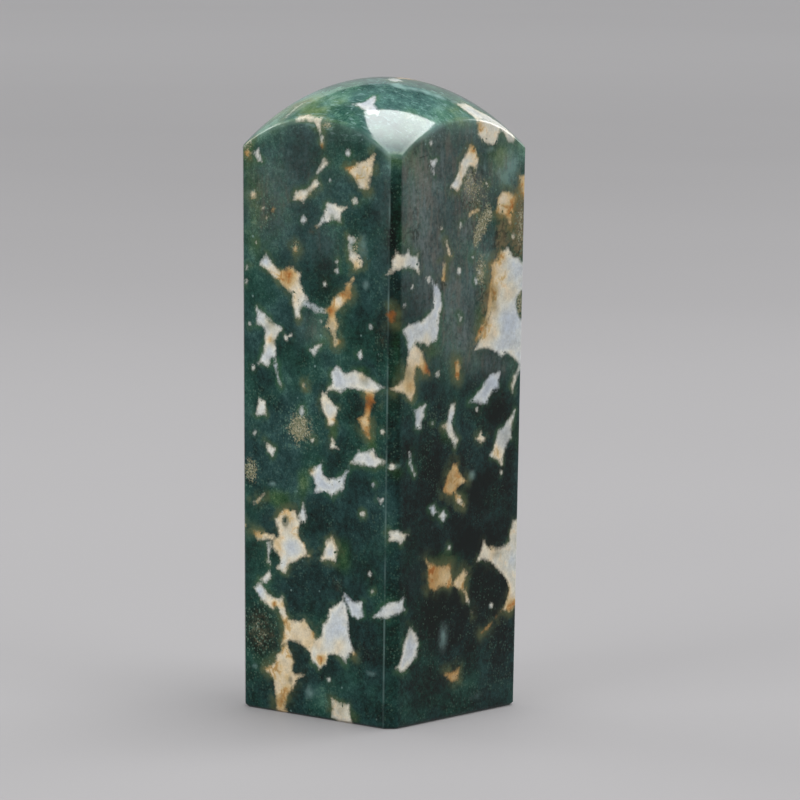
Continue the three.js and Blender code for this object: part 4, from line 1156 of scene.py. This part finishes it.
def veiled(graph, place, colour):
    """The ground under the grey, brown and hazy parts, the first two with fine dark lines. The grey is
    partly a painted reflection.
    """
    grey = graph.attribute("grey")
    brown = graph.attribute("brown")
    streak = graph.times(graph.noise(graph.stretched(place, UPRIGHT), 1.1, 4.0, 0.65), grey)
    colour = graph.mix(graph.ramp(streak, 0.0, 0.06, 0.0, 0.42), colour, MAUVE)
    colour = graph.mix(graph.ramp(streak, -0.08, 0.0, 0.45, 0.0), colour, BLUE_GREY)
    mottle = graph.noise(place, 0.6, 5.0, 0.75)
    # The grey veil, partly grey in the stone and partly a painted reflection
    colour = graph.mix(graph.times(grey, graph.add(0.32, graph.times(mottle, 1.3))), colour, GREY_GREEN)
    brown_share = graph.times(brown, graph.add(0.5, graph.times(mottle, 2.6)))
    colour = graph.mix(graph.ramp(brown_share, 0.05, 0.9, 0.0, 0.85), colour, BROWN)
    lined = graph.ramp(graph.add(graph.times(grey, 0.7), brown), 0.2, 0.8, 0.0, 0.75)
    lined = graph.times(lined, graph.ramp(brown, 1.2, 2.0, 1.0, 0.2))
    lined = graph.times(lined, graph.ramp(graph.noise(place, 2.6), -0.02, 0.08))
    colour = graph.mix(graph.times(graph.lines(place, 1.7, 0.26), lined), colour, DARK_LINE)
    haze = graph.add(graph.attribute("haze"), graph.times(graph.noise(place, 0.7, 3.0, 0.7), 0.6))
    return graph.mix(graph.ramp(haze, 0.2, 1.2, 0.0, 0.85), colour, PALE_TEAL)


def speck_share(graph, place, spacing, radius, kept):
    """1 inside small round specks, of which only a share is kept."""
    cell = graph.cells(place, spacing)
    reach = graph.ramp(graph.random(cell)[0], 1 - kept, 1.0, -0.2, radius / spacing)
    inside = graph.math("SUBTRACT", reach, cell.outputs["Distance"])
    return graph.ramp(inside, -0.06, 0.12)


def speckled(graph, place, colour):
    """Dense faint green specks in some parts, and sparse paler ones everywhere."""
    beside_grain = graph.ramp(graph.attribute("grain"), 0.02, 0.12)
    stippled = graph.ramp(graph.add(graph.noise(place, 3.5, 3.0), beside_grain), -0.06, 0.14, 0.08, 1.0)
    strength = graph.add(0.22, graph.times(beside_grain, 0.28))
    dense = graph.times(speck_share(graph, place, 0.27, 0.15, 0.8), graph.times(stippled, strength))
    colour = graph.mix(dense, colour, PALE_GREEN)
    for spacing, radius, kept, strength in ((0.9, 0.17, 0.16, 0.55), (2.6, 0.30, 0.20, 0.8)):
        specks = graph.times(speck_share(graph, place, spacing, radius, kept), strength)
        colour = graph.mix(specks, colour, PALE_TEAL)
    return colour


def dashed(graph, place, colour):
    """Fine pale dashes along the dome."""
    dashes = graph.ramp(graph.noise(graph.stretched(place, DRAWN_OUT), 0.4, 2.0), 0.08, 0.20)
    on_dome = graph.ramp(graph.height(place), *DASHED_HEIGHTS, 0.0, 0.35)
    return graph.mix(graph.times(dashes, on_dome), colour, PALE_TEAL)


def grain_share(graph, place):
    """Which grains of the granular parts are there, and the random number of each."""
    random = graph.random(graph.cells(place, GRAIN_SIZE))
    density = graph.add(graph.attribute("grain"), graph.times(graph.noise(place, 1.1, 4.0, 0.7), 0.7))
    there = graph.ramp(graph.add(random[1], density), 0.60, 1.15, 0.0, 0.85)
    return graph.times(there, graph.ramp(density, 0.08, 0.40)), random[0]


def haloed(graph, place, colour, ragged, warmth, cell):
    """A green or olive halo round the light matter, with an ochre fringe where that is warm."""
    halo_colour = graph.mix(graph.ramp(warmth, 0.05, 0.4), GREEN_HALO, OLIVE_HALO)
    narrowed = graph.times(ragged, graph.ramp(warmth, 0.2, 0.5, 1.0, 0.55))
    fringe = graph.times(graph.ramp(narrowed, -0.50, -0.05), graph.ramp(warmth, 0.28, 0.55))
    fringe = graph.times(fringe, graph.ramp(graph.attribute("brown"), 0.1, 0.8, 0.1, 1.0))
    halo_colour = graph.mix(fringe, halo_colour, OCHRE_FRINGE)
    halo = graph.times(graph.ramp(narrowed, -0.95, 0.05), graph.ramp(cell, 0.0, 1.0, 0.75, 0.22))
    halo = graph.times(halo, graph.ramp(graph.noise(place, 2.2, 3.0), -0.12, 0.1, 0.1, 1.0))
    return graph.mix(halo, colour, halo_colour)


def polish_inputs(graph, place, matter, grain):
    """A polish that is a little uneven, glossier on the dome, and sawn and matte underneath."""
    roughness = graph.add(POLISHED, graph.times(graph.noise(place, 2.0, 3.0), POLISH_UNEVENNESS))
    roughness = graph.add(roughness, graph.times(graph.add(grain, graph.attribute("edge")), WORN))
    sawn = graph.ramp(graph.height(place), *SAWN_HEIGHTS, SAWN, 0.0)
    roughness = graph.add(roughness, sawn)
    relief = graph.times(graph.noise(place, 7.0, 1.0), WAVINESS)
    relief = graph.add(relief, graph.times(matter, MATTER_RELIEF))
    bump = graph.node("ShaderNodeBump", {"Height": relief, "Strength": 1.0, "Distance": MM}).outputs[0]
    gloss = graph.ramp(graph.height(place), *GLOSSIER_HEIGHTS, FACE_GLOSS, DOME_GLOSS)
    return {"Roughness": roughness, "IOR": STONE_IOR, "Specular IOR Level": gloss, "Normal": bump}


def stone_material():
    material = bpy.data.materials.new("moss_agate")
    graph = graph_of(material)
    metres = graph.node("ShaderNodeTexCoord", {}).outputs["Object"]
    place = graph.scaled(metres, 1 / MM)

    ragged = ragged_depth(graph, place)
    thinned = graph.ramp(graph.attribute("thinned"), 0.0, 1.0, 1.0, 0.3)
    matter = graph.times(graph.ramp(ragged, -0.20, 0.38), thinned)
    light_colour, warmth = light_matter_colour(graph, place, ragged)
    cell = cell_share(graph, place)
    colour = veiled(graph, place, ground_colour(graph, place, cell))
    colour = haloed(graph, place, colour, ragged, warmth, cell)
    colour = dashed(graph, place, speckled(graph, place, colour))
    grain, grain_random = grain_share(graph, place)
    colour = graph.mix(grain, colour, graph.colours(grain_random, GRAINS))
    # A painted highlight: a pale line along the edges, stronger in some stretches than others
    edge_highlight_here = graph.ramp(graph.noise(place, 6.0, 2.0), -0.12, 0.15, 0.04, 0.32)
    colour = graph.mix(graph.times(graph.attribute("edge"), edge_highlight_here), colour, PALE_TEAL)
    colour = graph.mix(matter, colour, light_colour)
    inputs = {"Base Color": colour, **polish_inputs(graph, place, matter, grain)}
    shader = graph.node("ShaderNodeBsdfPrincipled", inputs)
    graph.node("ShaderNodeOutputMaterial", {"Surface": shader.outputs[0]})
    return material


def seen_share(graph):
    """1 for the rays that the camera, a mirror or glass sends out, and 0 for those that gather light."""
    rays = graph.node("ShaderNodeLightPath", {}).outputs
    mirrored = graph.add(rays["Is Glossy Ray"], rays["Is Transmission Ray"])
    return graph.math("MINIMUM", graph.add(rays["Is Camera Ray"], mirrored), 1.0)


def floor_material():
    material = bpy.data.materials.new("pale_floor")
    graph = graph_of(material)
    metres = graph.node("ShaderNodeTexCoord", {}).outputs["Object"]
    tint = graph.ramp(graph.noise(metres, 0.3, 2.0), -0.3, 0.3)
    colour = graph.mix(tint, FLOOR_DARKER, FLOOR_PALER)
    inputs = {"Base Color": colour, "Roughness": FLOOR_ROUGHNESS, "Specular IOR Level": FLOOR_GLOSS}
    matte = graph.node("ShaderNodeBsdfPrincipled", inputs)
    distance = graph.node("ShaderNodeVectorMath", {0: metres}, operation="LENGTH").outputs["Value"]
    paleness = graph.ramp(distance, FAR_FLOOR_START, FAR_FLOOR_END, NEAR_GLOW, FAR_GLOW)
    glow = graph.times(paleness, seen_share(graph))
    pale = graph.node("ShaderNodeEmission", {"Color": (*FLOOR_GLOW_COLOUR, 1), "Strength": glow})
    both = graph.node("ShaderNodeAddShader", {0: matte.outputs[0], 1: pale.outputs[0]})
    graph.node("ShaderNodeOutputMaterial", {"Surface": both.outputs[0]})
    return material


# The studio: floor, lamps, world and camera

FLOOR_SIZE = 14.0  # metres, as all sizes in the studio
FLOOR_DARKER = (0.24, 0.235, 0.24)
FLOOR_PALER = (0.26, 0.255, 0.26)
FLOOR_ROUGHNESS = 0.6
FLOOR_GLOSS = 0.1

# Paleness that only the camera, mirrors and glass see. On the floor it grows with the distance.
FLOOR_GLOW_COLOUR = (0.98, 0.97, 0.99)
NEAR_GLOW = 0.11
FAR_GLOW = 0.305
FAR_FLOOR_START = 0.35
FAR_FLOOR_END = 1.8
WORLD_GLOW = 0.10
WORLD_GLOW_RISE = 0.25  # up to where the world has it, where 1 is the zenith

# The world's own light: a wall all round, paler upwards, and a dim sky
WALL_FOOT = 0.28
WALL_TOP = 0.56
SKY = 0.10
WALL_RISE = 0.5  # where 1 is the zenith
SKY_RISE = 0.53

OVERHEAD_HEIGHT = 0.85  # above the crown
OVERHEAD_SPAN = -0.19, 0.49  # its left and right side, as shares of that height
OVERHEAD_REACH = -0.27, 0.41  # its near and far side
OVERHEAD_RADIANCE = 9.2  # 1 is white
SIDE_LAMP_DISTANCE = 1.1
SIDE_LAMP_HEIGHT = 0.45
SIDE_LAMP_SIZE = 0.6, 0.5
SIDE_LAMP_AIM = (0, 0, 0.04)

# Side lamps are (name, degrees round the stone from the camera's direction, radiance)
SIDE_LAMPS = [
    ("left", -48, 7.2),
    ("right", 58, 3.5),
    ("back_left", -125, 4.0),
    ("back_right", 128, 4.0),
]


def add_floor():
    half = FLOOR_SIZE / 2
    mesh = bpy.data.meshes.new("floor")
    corners = [(-half, -half, 0), (half, -half, 0), (half, half, 0), (-half, half, 0)]
    mesh.from_pydata(corners, [], [(0, 1, 2, 3)])
    mesh.materials.append(floor_material())
    placed("floor", mesh)


def add_softbox(name, middle, aim, width, depth, radiance, turn=0.0):
    """A rectangular lamp whose face looks at a point."""
    lamp = bpy.data.lights.new(name, "AREA")
    lamp.shape = "RECTANGLE"
    lamp.size = width
    lamp.size_y = depth
    lamp.energy = radiance * pi * width * depth
    direction = Vector(aim) - Vector(middle)
    facing = direction.to_track_quat("-Z", "Y").to_matrix().to_4x4()
    turned = facing @ Matrix.Rotation(turn, 4, "Z")
    placed(name, lamp).matrix_world = Matrix.Translation(middle) @ turned


def add_side_lamp(name, turn, radiance):
    """A softbox beside the stone, turned about it from the camera's direction, which is 0."""
    out = SIDE_LAMP_DISTANCE * (TO_RIGHT * sin(radians(turn)) - TO_BACK * cos(radians(turn)))
    middle = out + np.array([0, 0, SIDE_LAMP_HEIGHT])
    add_softbox(name, middle, SIDE_LAMP_AIM, *SIDE_LAMP_SIZE, radiance)


def add_lamps():
    """One softbox overhead, whose corner the dome mirrors, and softboxes beside the faces."""
    left, right = OVERHEAD_SPAN
    near, far = OVERHEAD_REACH
    aside = TO_RIGHT * (left + right) / 2 + TO_BACK * (near + far) / 2
    crown = np.array([0, 0, CROWN_HEIGHT * MM])
    middle = crown + OVERHEAD_HEIGHT * (aside + np.array([0, 0, 1]))
    below = middle - np.array([0, 0, 1.0])
    width = (right - left) * OVERHEAD_HEIGHT
    depth = (far - near) * OVERHEAD_HEIGHT
    add_softbox("overhead", middle, below, width, depth, OVERHEAD_RADIANCE, VIEW_AZIMUTH)
    for lamp in SIDE_LAMPS:
        add_side_lamp(*lamp)


def add_world():
    """Paler and paler up to a third of the way to the zenith, where it ends at an edge. Dim above."""
    world = bpy.data.worlds.new("studio")
    graph = graph_of(world)
    direction = graph.node("ShaderNodeTexCoord", {}).outputs["Generated"]
    rise = graph.height(direction)
    wall = graph.ramp(rise, 0.0, WALL_RISE, WALL_FOOT, WALL_TOP)
    wall = graph.times(wall, graph.ramp(rise, WALL_RISE, SKY_RISE, 1.0, 0.0))
    level = graph.add(wall, graph.ramp(rise, WALL_RISE, SKY_RISE, 0.0, SKY))
    horizon_glow = graph.ramp(rise, 0.0, WORLD_GLOW_RISE, WORLD_GLOW, 0.0)
    level = graph.add(level, graph.times(horizon_glow, seen_share(graph)))
    background = graph.node("ShaderNodeBackground", {"Color": (1.0, 1.0, 1.0, 1), "Strength": level})
    graph.node("ShaderNodeOutputWorld", {"Surface": background.outputs[0]})
    bpy.context.scene.world = world


VIEW_PITCH = radians(6.819)
VIEW_ROLL = radians(0.555)
VIEW_DISTANCE = 584.6  # mm
VIEW_LENS = 217.9
SENSOR_WIDTH = 36.0
CLIP_START = 0.01  # metres
VIEW_TARGET = TO_RIGHT * 2.183 + np.array([0, 0, 37.332])


def add_camera():
    """The photograph's view, found from the stone's edges."""
    forward = TO_BACK * cos(VIEW_PITCH) - np.array([0, 0, sin(VIEW_PITCH)])
    up = np.cross(TO_RIGHT, forward)
    right = TO_RIGHT * cos(VIEW_ROLL) + up * sin(VIEW_ROLL)
    up = up * cos(VIEW_ROLL) - TO_RIGHT * sin(VIEW_ROLL)
    place = (VIEW_TARGET - forward * VIEW_DISTANCE) * MM
    data = bpy.data.cameras.new("camera")
    data.lens = VIEW_LENS
    data.sensor_width = SENSOR_WIDTH
    data.clip_start = CLIP_START
    camera = placed("camera", data)
    axes = Matrix(np.column_stack([right, up, -forward]).tolist()).to_4x4()
    camera.matrix_world = Matrix.Translation(place) @ axes
    bpy.context.scene.camera = camera


stone = build_stone()
stone.data.materials.append(stone_material())
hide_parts("seal_stone")
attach(stone, "root")
add_floor()
add_lamps()
add_world()
add_camera()
bpy.context.scene.view_settings.view_transform = "Standard"
